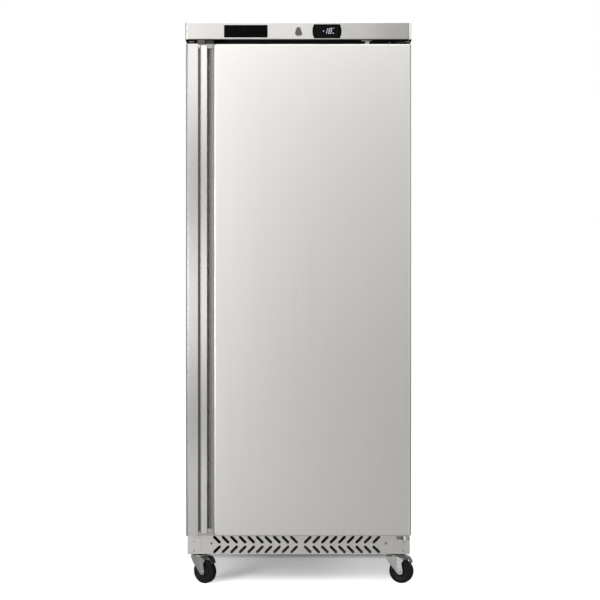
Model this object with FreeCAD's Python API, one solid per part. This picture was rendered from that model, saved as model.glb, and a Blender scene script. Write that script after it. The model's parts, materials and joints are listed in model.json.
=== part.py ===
"""Single-door upright storage freezer on castors, modelled as an assembly of separate pieces.

Row frame: origin on the floor under the middle of the cabinet, +X to the viewer's right, -Y to the front
(the door), +Z up. All values are millimetres. The door hangs on the right and is pulled by a full-height
grip on the left. Six evaporator shelves are fixed inside; the cooling machinery sits low at the back.
"""

import FreeCAD
import Part
import math
import os

from FreeCAD import Vector

# ---------------------------------------------------------------- driving dimensions

HEIGHT = 1945.0            # floor to top of the cover
DEPTH = 695.0              # door front to back panel
COVER_W = 777.0            # top cover, the widest sheet part
BODY_W = 772.0             # cabinet body and door
FASCIA_H = 58.0            # front of the top cover
DOOR_GAP = 15.0            # dark gap between fascia and door
DOOR_H = 1685.0
DOOR_T = 55.0              # front skin to the flat back of the door
GASKET_GAP = 10.0          # door back to cabinet front
WALL = 57.0                # insulated wall without its liner
LINER_T = 3.0
SHEET = 1.0                # outer sheet metal
BASE_Z = 113.0             # underside of the plinth
FLOOR_Z = 240.0            # inside floor of the cold space
CEILING_Z = 1835.0         # inside ceiling
HUMP_TOP_Z = 430.0         # step in the liner over the machinery
HUMP_FRONT_Y = -30.0
SHELF_COUNT = 6
WHEEL_R = 42.5
WHEEL_HALF_W = 12.5
CASTOR_TRAIL = 19.0
CASTOR_X = 344.5
CASTOR_FRONT_Y = -213.0
CASTOR_REAR_Y = 285.0

# ---------------------------------------------------------------- values worked out from them

FRONT_Y = -DEPTH / 2
BACK_Y = DEPTH / 2
HALF_W = BODY_W / 2
DOOR_BACK_Y = FRONT_Y + DOOR_T
CABINET_Y = DOOR_BACK_Y + GASKET_GAP
FASCIA_Z = HEIGHT - FASCIA_H
DOOR_TOP_Z = FASCIA_Z - DOOR_GAP
DOOR_LOW_Z = DOOR_TOP_Z - DOOR_H
CAVITY_X = HALF_W - SHEET - WALL - LINER_T + 1.0
LINER_X = CAVITY_X + LINER_T
CAVITY_BACK_Y = BACK_Y - 60.0
LINER_BACK_Y = CAVITY_BACK_Y + LINER_T
FRAME_T = 2.0
LINER_FRONT_Y = CABINET_Y + FRAME_T
FOAM_FRONT_Y = LINER_FRONT_Y + SHEET
FOAM_BACK_Y = BACK_Y - 2 * SHEET
CABINET_TOP_Z = 1880.0     # insulated top, under the cover
MACHINE_TOP_Z = HUMP_TOP_Z - 60.0
MACHINE_FRONT_Y = HUMP_FRONT_Y + 60.0
PAN_Z = BASE_Z + 1.2
PAN_T = 1.5
SHELF_PITCH = (CEILING_Z - HUMP_TOP_Z - 40.0) / SHELF_COUNT
SHELF_LOW_Z = HUMP_TOP_Z + 40.0

# Hinge line of the door
HINGE_X = HALF_W - 18.0
HINGE_Y = FRONT_Y + 28.0
HINGE_PIN_R = 5.0
RUNNING_GAP = 0.05

# Full-height grip on the left of the door: x stations, and depths behind the door front
GRIP_WALL = 2.5
GROOVE_LEFT_X = -343.6
LIP_LEFT_X = -334.0
LIP_NOSE_R = 6.0            # the lip is round towards the groove
LIP_RIGHT_X = -312.7
PANEL_LEFT_X = -286.3      # where the flat door skin begins
LIP_HOOK_DEPTH = 7.0
CAVITY_DEPTH = 25.5        # finger space behind the lip
CAVITY_FLOOR_X = -326.0    # where the sloping wall meets the back of the finger space
EDGE_BEND = 9.0            # round vertical edges of door and fascia
FASCIA_BEND = 2.5          # round lower edge of the fascia
GRIP_TOP_DROP = 5.0        # lip and groove stop this far inside the door's top
GRIP_LOW_DROP = 10.0

# Fascia fittings: lock in the middle, badge plate left, display right
FITTING_Z = HEIGHT - 30.5
LOCK_BEZEL_R = 15.0
LOCK_BARREL_R = 9.5
LOCK_PLUG_R = 7.0
CAM_LENGTH = 51.0
CAM_Y = FRONT_Y + 27.0
DISPLAY_X = 97.2
DISPLAY_W = 100.0
DISPLAY_H = 47.6
BADGE_X = -180.3
BADGE_W = 149.0
BADGE_H = 42.4

# Evaporator shelves: one tube, bent to and fro, with wires across it
TUBE_R = 4.0
RUN_COUNT = 12
RUN_X = 297.0
RUN_PITCH = 2 * RUN_X / (RUN_COUNT - 1)
SHELF_FRONT_Y = -240.0
SHELF_BACK_Y = 255.0
WIRE_R = 1.5
WIRE_PITCH = 25.0

# Ventilated plinth: two rows of slanting slots that make arrows pointing to the middle
SLOT_R = 4.9
SLOT_RUN = 17.3            # both across and up, from one end centre to the other
SLOT_PITCH = 29.75
SLOT_TIP_LOW_Z = 137.8
SLOT_TIP_HIGH_Z = 154.2
LEFT_TIP_X = -6.9          # tip centre of the left arrow next to the middle
RIGHT_TIP_X = 23.2
LEFT_ARROWS = 10
RIGHT_ARROWS = 9
PLINTH_SCREW_X = 303.0
PLINTH_SCREW_Z = 150.0
PLINTH_T = 1.2
PLINTH_TOP_Z = DOOR_LOW_Z - 1.0

OUT = "parts"


# ---------------------------------------------------------------- small building blocks

def box(x0, x1, y0, y1, z0, z1):
    """Block between two corners."""
    return Part.makeBox(x1 - x0, y1 - y0, z1 - z0, Vector(x0, y0, z0))


def rod(radius, start, end):
    """Round bar from one point to another."""
    start = Vector(*start)
    along = Vector(*end) - start
    return Part.makeCylinder(radius, along.Length, start, along)


def point_on(axis, a, b, at):
    """Point with plane coordinates a and b, in X, Y, Z order, where the coordinate along axis is at."""
    return {"x": Vector(at, a, b), "y": Vector(a, at, b), "z": Vector(a, b, at)}[axis]


def extruded(face, axis, length):
    """Face pushed along a row axis."""
    return face.extrude(point_on(axis, 0, 0, length))


def hexagon(x, y, radius):
    """Six corners round a centre."""
    angles = [math.radians(60 * k) for k in range(6)]
    return [(x + radius * math.cos(a), y + radius * math.sin(a)) for a in angles]


def prism(points, axis, low, high):
    """Straight-sided outline pushed along an axis from low to high."""
    corners = [point_on(axis, a, b, low) for a, b in points]
    face = Part.Face(Part.makePolygon(corners + corners[:1]))
    return extruded(face, axis, high - low)


def slot_bar(a, b, radius, y0, y1):
    """Round-ended bar through a sheet that faces the front; a and b are its end centres in X and Z."""
    ax, az = a
    bx, bz = b
    length = math.hypot(bx - ax, bz - az)
    ux, uz = (bx - ax) / length * radius, (bz - az) / length * radius
    start_up = Vector(ax - uz, y0, az + ux)
    start_down = Vector(ax + uz, y0, az - ux)
    end_up = Vector(bx - uz, y0, bz + ux)
    end_down = Vector(bx + uz, y0, bz - ux)
    edges = [
        Part.LineSegment(start_up, end_up).toShape(),
        Part.Arc(end_up, Vector(bx + ux, y0, bz + uz), end_down).toShape(),
        Part.LineSegment(end_down, start_down).toShape(),
        Part.Arc(start_down, Vector(ax - ux, y0, az - uz), start_up).toShape(),
    ]
    return extruded(Part.Face(Part.Wire(edges)), "y", y1 - y0)


def bent_path(points, bends):
    """Straight runs through the points, joined by a tangent arc with its own radius at each corner."""
    points = [Vector(*p) for p in points]
    edges = []
    here = points[0]
    for before, corner, after, bend in zip(points, points[1:], points[2:], bends):
        to_corner = (corner - before).normalize()
        from_corner = (after - corner).normalize()
        turn = to_corner.getAngle(from_corner)
        cut = bend * math.tan(turn / 2)
        arc_start = corner - to_corner * cut
        arc_end = corner + from_corner * cut
        inward = (from_corner - to_corner).normalize()
        middle = corner + inward * (bend / math.cos(turn / 2) - bend)
        if (arc_start - here).dot(to_corner) < -1e-6:
            raise ValueError(f"the bend of {bend} at {corner} doesn't fit its straight run")
        if (arc_start - here).Length > 1e-6:
            edges.append(Part.LineSegment(here, arc_start).toShape())
        edges.append(Part.Arc(arc_start, middle, arc_end).toShape())
        here = arc_end
    edges.append(Part.LineSegment(here, points[-1]).toShape())
    return edges


def inner_corners(points, thickness):
    """Points of a sheet's inner face, where the outer face's turns are all to the left."""
    points = [Vector(*p) for p in points]
    runs = [(b - a).normalize() for a, b in zip(points, points[1:])]
    normals = [Vector(-run.y, run.x, 0) for run in runs]
    inner = [points[0] + normals[0] * thickness]
    for corner, n0, n1 in zip(points[1:], normals, normals[1:]):
        inner.append(corner + (n0 + n1) * (thickness / (1 + n0.dot(n1))))
    inner.append(points[-1] + normals[-1] * thickness)
    return inner


def folded_sheet(points, bends, thickness, height):
    """Upright sheet folded along an outline of outer points, whose turns are all to the left."""
    inner = inner_corners(points, thickness)
    outer_edges = bent_path(points, bends)
    inner_edges = bent_path(inner, [b - thickness for b in bends])
    start = Part.LineSegment(Vector(*points[0]), inner[0]).toShape()
    end = Part.LineSegment(Vector(*points[-1]), inner[-1]).toShape()
    wire = Part.Wire(Part.__sortEdges__(outer_edges + inner_edges + [start, end]))
    return extruded(Part.Face(wire), "z", height)


def tube(points, bend, radius):
    """Solid round tube along a path; its volume is checked against section times length."""
    path = Part.Wire(bent_path(points, [bend] * (len(points) - 2)))
    start = Vector(*points[0])
    circle = Part.Wire(Part.makeCircle(radius, start, Vector(*points[1]) - start))
    solid = path.makePipeShell([circle], True, False)
    wanted = math.pi * radius ** 2 * path.Length
    if abs(solid.Volume - wanted) > 0.01 * wanted:
        raise ValueError(f"tube from {points[0]} has volume {solid.Volume:.0f}, not {wanted:.0f}")
    return solid


def rounded(shape, radius, wanted):
    """Shape with the edges that wanted(edge) picks rounded off."""
    return shape.makeFillet(radius, [e for e in shape.Edges if wanted(e)])


def runs_along(edge, axis):
    """True for a straight edge parallel to a row axis."""
    if len(edge.Vertexes) != 2:
        return False
    span = edge.Vertexes[1].Point - edge.Vertexes[0].Point
    return abs(abs(span.dot(point_on(axis, 0, 0, 1))) - edge.Length) < 1e-6 and edge.Length > 1e-6


def mid(edge):
    """Middle of an edge's bounding box."""
    return edge.BoundBox.Center


def together(shapes):
    """Fuses shapes that touch or overlap into one solid."""
    return shapes[0].multiFuse(shapes[1:]).removeSplitter()


def mirrored(shape):
    """The same piece on the other side of the cabinet's middle plane."""
    return shape.mirror(Vector(0, 0, 0), Vector(1, 0, 0))


def export(name, *shapes):
    """Writes one node. Several shapes become a group of separate solids."""
    shape = shapes[0] if len(shapes) == 1 else Part.makeCompound(list(shapes))
    for solid in shape.Solids:
        if not solid.isValid() or solid.Volume <= 0:
            raise ValueError(f"{name} holds a bad solid")
    shape.exportStep(os.path.join(OUT, name + ".step"))


# ---------------------------------------------------------------- cabinet shell

def side_panel():
    """Right outer side: one sheet with short returns at the front and the back."""
    top = HEIGHT - 2.5
    outer = box(HALF_W - SHEET, HALF_W, CABINET_Y, FOAM_BACK_Y + SHEET, BASE_Z, top)
    front = box(HALF_W - 20, HALF_W, LINER_FRONT_Y, FOAM_FRONT_Y, BASE_Z + 2, top)
    rear = box(HALF_W - 16, HALF_W, FOAM_BACK_Y, FOAM_BACK_Y + SHEET, BASE_Z, top)
    return together([outer, front, rear])


BACK_SCREWS = [(x, z) for x in (-378.0, 378.0) for z in (400.0, 780.0, 1160.0, 1540.0, 1870.0)]


def flush_cone(x, z):
    """Body of a countersunk head that fills the sheet's thickness."""
    return Part.makeCone(3.6, 3.6 - SHEET, SHEET, Vector(x, BACK_Y, z), Vector(0, -1, 0))


def back_panel():
    """Flat galvanised sheet above the machine space, dimpled for flush screws."""
    sheet = box(-HALF_W, HALF_W, BACK_Y - SHEET, BACK_Y, MACHINE_TOP_Z, HEIGHT - 2.5)
    return sheet.cut(Part.makeCompound([flush_cone(x, z) for x, z in BACK_SCREWS]))


def top_panel():
    """Sheet that closes the insulated top, under the cover."""
    return box(1 - HALF_W, HALF_W - 1, FOAM_FRONT_Y, FOAM_BACK_Y, CABINET_TOP_Z, CABINET_TOP_Z + SHEET)


def display_outline(grow, y0, y1):
    """Display shape: flat top and bottom, bowed ends, grown by a margin on every side."""
    half_w = DISPLAY_W / 2 + grow
    half_h = DISPLAY_H / 2 + grow
    corner_x = half_w - 6.0
    left_low = Vector(DISPLAY_X - corner_x, y0, FITTING_Z - half_h)
    left_high = Vector(DISPLAY_X - corner_x, y0, FITTING_Z + half_h)
    right_high = Vector(DISPLAY_X + corner_x, y0, FITTING_Z + half_h)
    right_low = Vector(DISPLAY_X + corner_x, y0, FITTING_Z - half_h)
    edges = [
        Part.Arc(left_low, Vector(DISPLAY_X - half_w, y0, FITTING_Z), left_high).toShape(),
        Part.LineSegment(left_high, right_high).toShape(),
        Part.Arc(right_high, Vector(DISPLAY_X + half_w, y0, FITTING_Z), right_low).toShape(),
        Part.LineSegment(right_low, left_low).toShape(),
    ]
    return extruded(Part.Face(Part.Wire(edges)), "y", y1 - y0)


def fascia_fold(span):
    """Lower edge of the fascia: the sheet turns back under it in a round bend."""
    outline = [
        (FRONT_Y, FASCIA_Z + 2 * FASCIA_BEND, 0),
        (FRONT_Y, FASCIA_Z, 0),
        (FRONT_Y + 14, FASCIA_Z, 0),
    ]
    fold = folded_sheet(outline, [FASCIA_BEND], SHEET, 2 * span)
    fold.rotate(Vector(0, 0, 0), Vector(1, 1, 1), 120)
    return fold.translated(Vector(-span, 0, 0))


def top_cover():
    """Lid with a deep front: the fascia, with openings for the lock and the display."""
    half = COVER_W / 2
    outer = box(-half, half, FRONT_Y, BACK_Y, FASCIA_Z, HEIGHT)
    outer = rounded(outer, EDGE_BEND, lambda e: runs_along(e, "z") and mid(e).y < 0)
    outer = rounded(outer, 2, lambda e: mid(e).z > HEIGHT - 0.1)
    inner = box(SHEET - half, half - SHEET, FRONT_Y + SHEET, BACK_Y + 1, FASCIA_Z - 1, HEIGHT - SHEET)
    inner = rounded(inner, EDGE_BEND - SHEET, lambda e: runs_along(e, "z") and mid(e).y < 0)
    shell = outer.cut(inner)
    span = half - EDGE_BEND
    sharp_edge = box(-span, span, FRONT_Y - 1, FRONT_Y + 2, FASCIA_Z - 1, FASCIA_Z + 2 * FASCIA_BEND)
    shell = together([shell.cut(sharp_edge), fascia_fold(span)])
    lock_hole = rod(LOCK_BARREL_R + 0.1, (0, FRONT_Y - 1, FITTING_Z), (0, FRONT_Y + 5, FITTING_Z))
    display_hole = box(DISPLAY_X - 41, DISPLAY_X + 41, FRONT_Y - 1, FRONT_Y + 5,
                       FITTING_Z - 19, FITTING_Z + 19)
    return shell.cut(Part.makeCompound([lock_hole, display_hole]))


def front_frame():
    """Four rails around the mouth of the cold space; the gasket's magnet pulls onto them."""
    y0, y1 = CABINET_Y, LINER_FRONT_Y
    stile_left = box(-HALF_W + SHEET, -CAVITY_X, y0, y1, DOOR_LOW_Z, FASCIA_Z)
    stile_right = box(CAVITY_X, HALF_W - SHEET, y0, y1, DOOR_LOW_Z, FASCIA_Z)
    low = box(-CAVITY_X, CAVITY_X, y0, y1, DOOR_LOW_Z, FLOOR_Z)
    high = box(-CAVITY_X, CAVITY_X, y0, y1, CEILING_Z, FASCIA_Z)
    return [stile_left, stile_right, low, high]


def gap_trim():
    """Black strip that closes the gap above the door, and stops short of the hinge."""
    return box(-HALF_W + 2, HINGE_X - 30, CABINET_Y - 2, CABINET_Y, DOOR_TOP_Z - 6, FASCIA_Z + 9)


def inner_liner():
    """Moulded white tub with a step over the machinery, and two holes for the evaporator's ends."""
    step_y, step_z = HUMP_FRONT_Y + LINER_T, HUMP_TOP_Z - LINER_T
    low, high = FLOOR_Z - LINER_T, CEILING_Z + LINER_T
    outline = [
        (LINER_FRONT_Y, low), (step_y, low), (step_y, step_z),
        (LINER_BACK_Y, step_z), (LINER_BACK_Y, high), (LINER_FRONT_Y, high),
    ]
    hollow = [
        (LINER_FRONT_Y - 1, FLOOR_Z), (HUMP_FRONT_Y, FLOOR_Z), (HUMP_FRONT_Y, HUMP_TOP_Z),
        (CAVITY_BACK_Y, HUMP_TOP_Z), (CAVITY_BACK_Y, CEILING_Z), (LINER_FRONT_Y - 1, CEILING_Z),
    ]
    outer = prism(outline, "x", -LINER_X, LINER_X)
    inner = prism(hollow, "x", -CAVITY_X, CAVITY_X)

    def inside_edge(edge):
        return runs_along(edge, "x") and mid(edge).y > LINER_FRONT_Y

    def step_edge(edge):
        return inside_edge(edge) and abs(mid(edge).y - HUMP_FRONT_Y) < 1 and mid(edge).z > FLOOR_Z + 1

    inner = rounded(inner, 22, lambda e: inside_edge(e) and not step_edge(e))
    inner = rounded(inner, 4, step_edge)
    inner = rounded(inner, 12, lambda e: abs(mid(e).x) > CAVITY_X - 1 and mid(e).y > LINER_FRONT_Y)
    return outer.cut(inner).cut(Part.makeCompound(pipe_holes()))


PIPE_DOWN_X = [-RUN_X, -RUN_X - 15.0]
PIPE_DOWN_Y = 273.0


def pipe_holes():
    """Drillings that the two ends of the evaporator take down through the step."""
    return [
        rod(TUBE_R + 0.3, (x, PIPE_DOWN_Y, MACHINE_TOP_Z - 5), (x, PIPE_DOWN_Y, HUMP_TOP_Z + 30))
        for x in PIPE_DOWN_X
    ]


def foam_insulation():
    """Slabs of rigid foam between the liner and the outer sheets."""
    front, back = FOAM_FRONT_Y, FOAM_BACK_Y
    side_x = HALF_W - SHEET
    left = box(-side_x, -LINER_X, front, back, DOOR_LOW_Z, CABINET_TOP_Z)
    right = box(LINER_X, side_x, front, back, DOOR_LOW_Z, CABINET_TOP_Z)
    top = box(-LINER_X, LINER_X, front, back, CEILING_Z + LINER_T, CABINET_TOP_Z)
    rear = box(-LINER_X, LINER_X, LINER_BACK_Y, back, MACHINE_TOP_Z, CEILING_Z + LINER_T)
    floor = box(-LINER_X, LINER_X, front, MACHINE_FRONT_Y, DOOR_LOW_Z, FLOOR_Z - LINER_T)
    step_wall = box(-LINER_X, LINER_X, HUMP_FRONT_Y + LINER_T, MACHINE_FRONT_Y,
                    FLOOR_Z - LINER_T, HUMP_TOP_Z - LINER_T)
    step_top = box(-LINER_X, LINER_X, MACHINE_FRONT_Y, LINER_BACK_Y, MACHINE_TOP_Z, HUMP_TOP_Z - LINER_T)
    return [left, right, top, rear, floor, step_wall, step_top.cut(Part.makeCompound(pipe_holes()))]


# ---------------------------------------------------------------- base

def base_pan():
    """Galvanised floor of the machine space, with upturned edges and a pressed seat over each castor."""
    half = HALF_W - 2
    y0, y1 = FOAM_FRONT_Y + 0.5, FOAM_BACK_Y - 0.5
    t = PAN_T
    floor = box(-half, half, y0, y1, PAN_Z, PAN_Z + t)
    left = box(-half, t - half, y0, y1, PAN_Z, PAN_Z + 25)
    rear = box(-half, half, y1 - t, y1, PAN_Z, PAN_Z + 14)
    seats = []
    pockets = []
    for x, y, _, _ in CASTORS.values():
        dx, dy = PLATE_HALF_X + 3, PLATE_HALF_Y
        seats.append(box(x - dx, x + dx, y - dy, y + dy, PLATE_TOP_Z, PAN_Z + t))
        pockets.append(box(x - dx + t, x + dx - t, y - dy + t, y + dy - t,
                           PLATE_TOP_Z + t, PAN_Z + 2 * t))
    return together([floor, left, mirrored(left), rear] + seats).cut(Part.makeCompound(pockets))


def arrow_slots():
    """Slots of the plinth: left arrows point right, right arrows point left."""
    y0, y1 = CABINET_Y - 1, CABINET_Y + PLINTH_T + 1
    tips = [(LEFT_TIP_X - k * SLOT_PITCH, -1) for k in range(LEFT_ARROWS)]
    tips += [(RIGHT_TIP_X + k * SLOT_PITCH, 1) for k in range(RIGHT_ARROWS)]
    slots = []
    for tip_x, tail in tips:
        tail_x = tip_x + tail * SLOT_RUN
        high_tail = (tail_x, SLOT_TIP_HIGH_Z + SLOT_RUN)
        low_tail = (tail_x, SLOT_TIP_LOW_Z - SLOT_RUN)
        slots.append(slot_bar((tip_x, SLOT_TIP_HIGH_Z), high_tail, SLOT_R, y0, y1))
        slots.append(slot_bar((tip_x, SLOT_TIP_LOW_Z), low_tail, SLOT_R, y0, y1))
    return slots


def plinth_grille():
    """Ventilated front below the door, with returns behind its top and bottom edges."""
    half = HALF_W - SHEET
    face = box(-half, half, CABINET_Y, CABINET_Y + PLINTH_T, BASE_Z, PLINTH_TOP_Z)
    low = box(-half + 2, half - 2, CABINET_Y, CABINET_Y + 14, BASE_Z, BASE_Z + 1)
    screws = [rod(2.6, (x, CABINET_Y - 1, PLINTH_SCREW_Z), (x, CABINET_Y + 3, PLINTH_SCREW_Z))
              for x in (-PLINTH_SCREW_X, PLINTH_SCREW_X)]
    return together([face, low]).cut(Part.makeCompound(arrow_slots() + screws))


def corner_plate_left():
    """Flat plate that covers the unused hinge place at the left end of the plinth."""
    return box(-HALF_W + 1, -338, CABINET_Y - 2.5, CABINET_Y, BASE_Z + 0.5, 171)


# ---------------------------------------------------------------- hinges

BRACKET_T = 3.0
LOW_TONGUE_Z = 172.0       # top of the lower bracket's tongue
HIGH_TONGUE_Z = 1877.5     # underside of the upper bracket's tongue
BUSH_R = 9.0
BUSH_FLANGE_R = 11.5
BUSH_FLANGE_T = 2.0
BUSH_LENGTH = 26.0


def hinge_tongue(z0, z1):
    """Flat tongue from the cabinet front to the hinge line, round at its free end."""
    left, right = HINGE_X - 28, HALF_W - 2
    back = CABINET_Y
    plate = box(left, right, HINGE_Y - 12, back, z0, z1)
    return rounded(plate, 9, lambda e: runs_along(e, "z") and mid(e).y < HINGE_Y)


def hinge_bracket_bottom():
    """Lower bracket: face plate on the plinth, tongue under the door, boss and pin."""
    face = box(HINGE_X - 28, HALF_W - 2, CABINET_Y - BRACKET_T, CABINET_Y, BASE_Z + 0.5, LOW_TONGUE_Z)
    tongue = hinge_tongue(LOW_TONGUE_Z - BRACKET_T, LOW_TONGUE_Z)
    boss_top = DOOR_LOW_Z - BUSH_FLANGE_T - 0.4
    boss = rod(BUSH_R, (HINGE_X, HINGE_Y, LOW_TONGUE_Z - 1), (HINGE_X, HINGE_Y, boss_top))
    pin = rod(HINGE_PIN_R, (HINGE_X, HINGE_Y, LOW_TONGUE_Z), (HINGE_X, HINGE_Y, DOOR_LOW_Z + 22))
    return together([face, tongue, boss, pin])


def hinge_bracket_top():
    """Upper bracket: plate behind the fascia, tongue over the door, pin pointing down."""
    face = box(HINGE_X - 28, HALF_W - 2, CABINET_Y - BRACKET_T, CABINET_Y,
               HIGH_TONGUE_Z, HIGH_TONGUE_Z + 46)
    tongue = hinge_tongue(HIGH_TONGUE_Z, HIGH_TONGUE_Z + BRACKET_T)
    pin = rod(HINGE_PIN_R, (HINGE_X, HINGE_Y, HIGH_TONGUE_Z + 1), (HINGE_X, HINGE_Y, DOOR_TOP_Z - 22))
    return together([face, tongue, pin])


def hinge_bush(z_face, into):
    """Flanged nylon bush in the door's end; into is +1 upwards and -1 downwards."""
    def level(up):
        return (HINGE_X, HINGE_Y, z_face + into * up)

    flange = rod(BUSH_FLANGE_R, level(-BUSH_FLANGE_T), level(0))
    body = rod(BUSH_R, level(0), level(BUSH_LENGTH))
    bore = rod(HINGE_PIN_R + RUNNING_GAP, level(-5), level(BUSH_LENGTH - 2))
    return together([flange, body]).cut(bore)


# ---------------------------------------------------------------- door

SKIN_T = 0.8
PANEL_BEND = 4.5           # bend from the flat face into the finger space
END_BEND = 4.5             # bends at the door's top and bottom
SKIN_LAP = 6.0             # how deep the skin follows the sloping wall of the finger space
SEAM_X = PANEL_LEFT_X + 7.3
LINER_EDGE = 2.0
PLUG_X = 314.0             # half width of the raised part inside the door
PLUG_LOW_Z = FLOOR_Z + 12.0
PLUG_HIGH_Z = CEILING_Z - 12.0
PLUG_RISE = 25.0
GASKET_INSET = 20.0
GASKET_W = 18.0
STRIKE_X0, STRIKE_X1 = -38.0, 10.0
STRIKE_HALF_Y = 4.0
STRIKE_DEPTH = 13.0


def hinge_bores():
    """Seats for the two hinge bushes in the door's skin and foam."""
    spans = [
        (DOOR_LOW_Z - 1, DOOR_LOW_Z + BUSH_LENGTH + 0.1),
        (DOOR_TOP_Z - BUSH_LENGTH - 0.1, DOOR_TOP_Z + 1),
    ]
    return [rod(BUSH_R + 0.05, (HINGE_X, HINGE_Y, z0), (HINGE_X, HINGE_Y, z1)) for z0, z1 in spans]


def strike_block(margin, z0, z1):
    """Block around the slot that takes the lock's cam, with a margin on its sides."""
    return box(STRIKE_X0 - margin, STRIKE_X1 + margin,
               CAM_Y - STRIKE_HALF_Y - margin, CAM_Y + STRIKE_HALF_Y + margin, z0, z1)


def door_block(inset, x0, y1):
    """Filled door to the right of the grip, round at the right, the top and the bottom, less an inset."""
    x1, y0 = HALF_W - inset, FRONT_Y + inset
    block = box(x0, x1, y0, y1, DOOR_LOW_Z + inset, DOOR_TOP_Z - inset)
    block = rounded(block, EDGE_BEND - inset,
                    lambda e: runs_along(e, "z") and mid(e).x > 0 and mid(e).y < y0 + 1)

    def front_end(edge):
        return runs_along(edge, "x") and mid(edge).y < y0 + 1

    return rounded(block, END_BEND - inset, front_end)


def door_skin():
    """Folded stainless front: flat face, side return, top and bottom, and a cup for the lock's cam."""
    y1 = DOOR_BACK_Y - LINER_EDGE
    x0 = PANEL_LEFT_X + PANEL_BEND / 2
    shell = door_block(0, x0, y1).cut(door_block(SKIN_T, x0 - 1, y1 + 1))
    lap = SKIN_LAP / CAVITY_DEPTH
    low = DOOR_LOW_Z + GRIP_LOW_DROP
    outline = [
        (PANEL_LEFT_X + (CAVITY_FLOOR_X - PANEL_LEFT_X) * lap, FRONT_Y + CAVITY_DEPTH * lap, low),
        (PANEL_LEFT_X, FRONT_Y, low),
        (PANEL_LEFT_X + 15, FRONT_Y, low),
    ]
    turned_edge = folded_sheet(outline, [PANEL_BEND], SKIN_T, DOOR_TOP_Z - GRIP_TOP_DROP - low)
    skin = together([shell, turned_edge])
    cup = strike_block(1.0, DOOR_TOP_Z - STRIKE_DEPTH - 1, DOOR_TOP_Z - SKIN_T / 2)
    slot = strike_block(0, DOOR_TOP_Z - STRIKE_DEPTH, DOOR_TOP_Z + 1)
    return together([skin, cup]).cut(Part.makeCompound([slot] + hinge_bores()))


def grip_outline():
    """Section of the grip in X and Y: edge, flange, square groove, lip, finger space and sloping wall."""
    w = GRIP_WALL
    groove = LIP_LEFT_X - GROOVE_LEFT_X

    def at(x, depth):
        return (x, FRONT_Y + depth)

    slope_x = PANEL_LEFT_X - CAVITY_FLOOR_X
    length = math.hypot(slope_x, CAVITY_DEPTH)
    wall_x = w * length / CAVITY_DEPTH
    step_x = (SKIN_T + 0.05) * length / CAVITY_DEPTH
    end_depth = 2.1
    end_x = PANEL_LEFT_X - slope_x * end_depth / CAVITY_DEPTH
    lap_depth = SKIN_LAP + 0.9
    lap_x = PANEL_LEFT_X - slope_x * lap_depth / CAVITY_DEPTH
    return [
        at(-HALF_W, 0), at(GROOVE_LEFT_X, 0), at(GROOVE_LEFT_X, groove), at(LIP_LEFT_X, groove),
        at(LIP_LEFT_X, 0), at(LIP_RIGHT_X, 0), at(LIP_RIGHT_X, LIP_HOOK_DEPTH),
        at(LIP_RIGHT_X - w, LIP_HOOK_DEPTH), at(LIP_RIGHT_X - w, w + 0.5), at(LIP_LEFT_X + w, w + 0.5),
        at(LIP_LEFT_X + w, CAVITY_DEPTH), at(CAVITY_FLOOR_X, CAVITY_DEPTH), at(lap_x, lap_depth),
        at(lap_x + step_x, lap_depth), at(end_x + step_x, end_depth), at(end_x + wall_x, end_depth),
        at(CAVITY_FLOOR_X + w, CAVITY_DEPTH + w), at(LIP_LEFT_X, CAVITY_DEPTH + w),
        at(LIP_LEFT_X, groove + w), at(GROOVE_LEFT_X - w, groove + w), at(GROOVE_LEFT_X - w, w),
        at(w - HALF_W, w), at(w - HALF_W, DOOR_T - LINER_EDGE), at(-HALF_W, DOOR_T - LINER_EDGE),
    ]


def lip_nose(extra, z0, z1):
    """Left part of the lip, round at the front, grown by extra all round."""
    groove = LIP_LEFT_X - GROOVE_LEFT_X
    left, right = LIP_LEFT_X - LIP_NOSE_R, LIP_LEFT_X
    y = FRONT_Y + LIP_NOSE_R
    front = rod(LIP_NOSE_R + extra, (right, y, z0), (right, y, z1))
    front = front.common(box(left - extra, right, FRONT_Y - extra, y, z0, z1))
    return together([front, box(left - extra, right, y, FRONT_Y + groove, z0, z1)])


def grip_front_edge(edge):
    """True for an upright edge of the grip that a hand meets, at the groove and the lip."""
    if mid(edge).y > FRONT_Y + 1 or not runs_along(edge, "z"):
        return False
    return abs(mid(edge).x - LIP_LEFT_X) > 1 and abs(mid(edge).x) < HALF_W - 1


def door_grip():
    """Full-height extrusion that makes the door's left edge and its finger grip."""
    w = GRIP_WALL
    bar = prism(grip_outline(), "z", DOOR_LOW_Z, DOOR_TOP_Z)
    corner = box(-HALF_W, -HALF_W + EDGE_BEND, FRONT_Y, FRONT_Y + EDGE_BEND, DOOR_LOW_Z, DOOR_TOP_Z)
    x, y = EDGE_BEND - HALF_W, FRONT_Y + EDGE_BEND
    bend = rod(EDGE_BEND - w, (x, y, DOOR_LOW_Z - 1), (x, y, DOOR_TOP_Z + 1))
    bar = together([bar, corner.cut(bend)])

    def left_edge(edge):
        return runs_along(edge, "z") and abs(mid(edge).x + HALF_W) < 0.1 and mid(edge).y < FRONT_Y + 1

    bar = rounded(bar, EDGE_BEND, left_edge)
    bar = rounded(bar, 1.2, grip_front_edge)
    bar = together([bar, lip_nose(0, DOOR_LOW_Z, DOOR_TOP_Z)])
    depth = FRONT_Y + CAVITY_DEPTH + w + 0.5
    spans = [(DOOR_TOP_Z - GRIP_TOP_DROP, DOOR_TOP_Z + 1), (DOOR_LOW_Z - 1, DOOR_LOW_Z + GRIP_LOW_DROP)]
    ends = [box(GROOVE_LEFT_X, PANEL_LEFT_X + 9, FRONT_Y - 1, depth, z0, z1) for z0, z1 in spans]
    return bar.cut(Part.makeCompound(ends))


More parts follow.
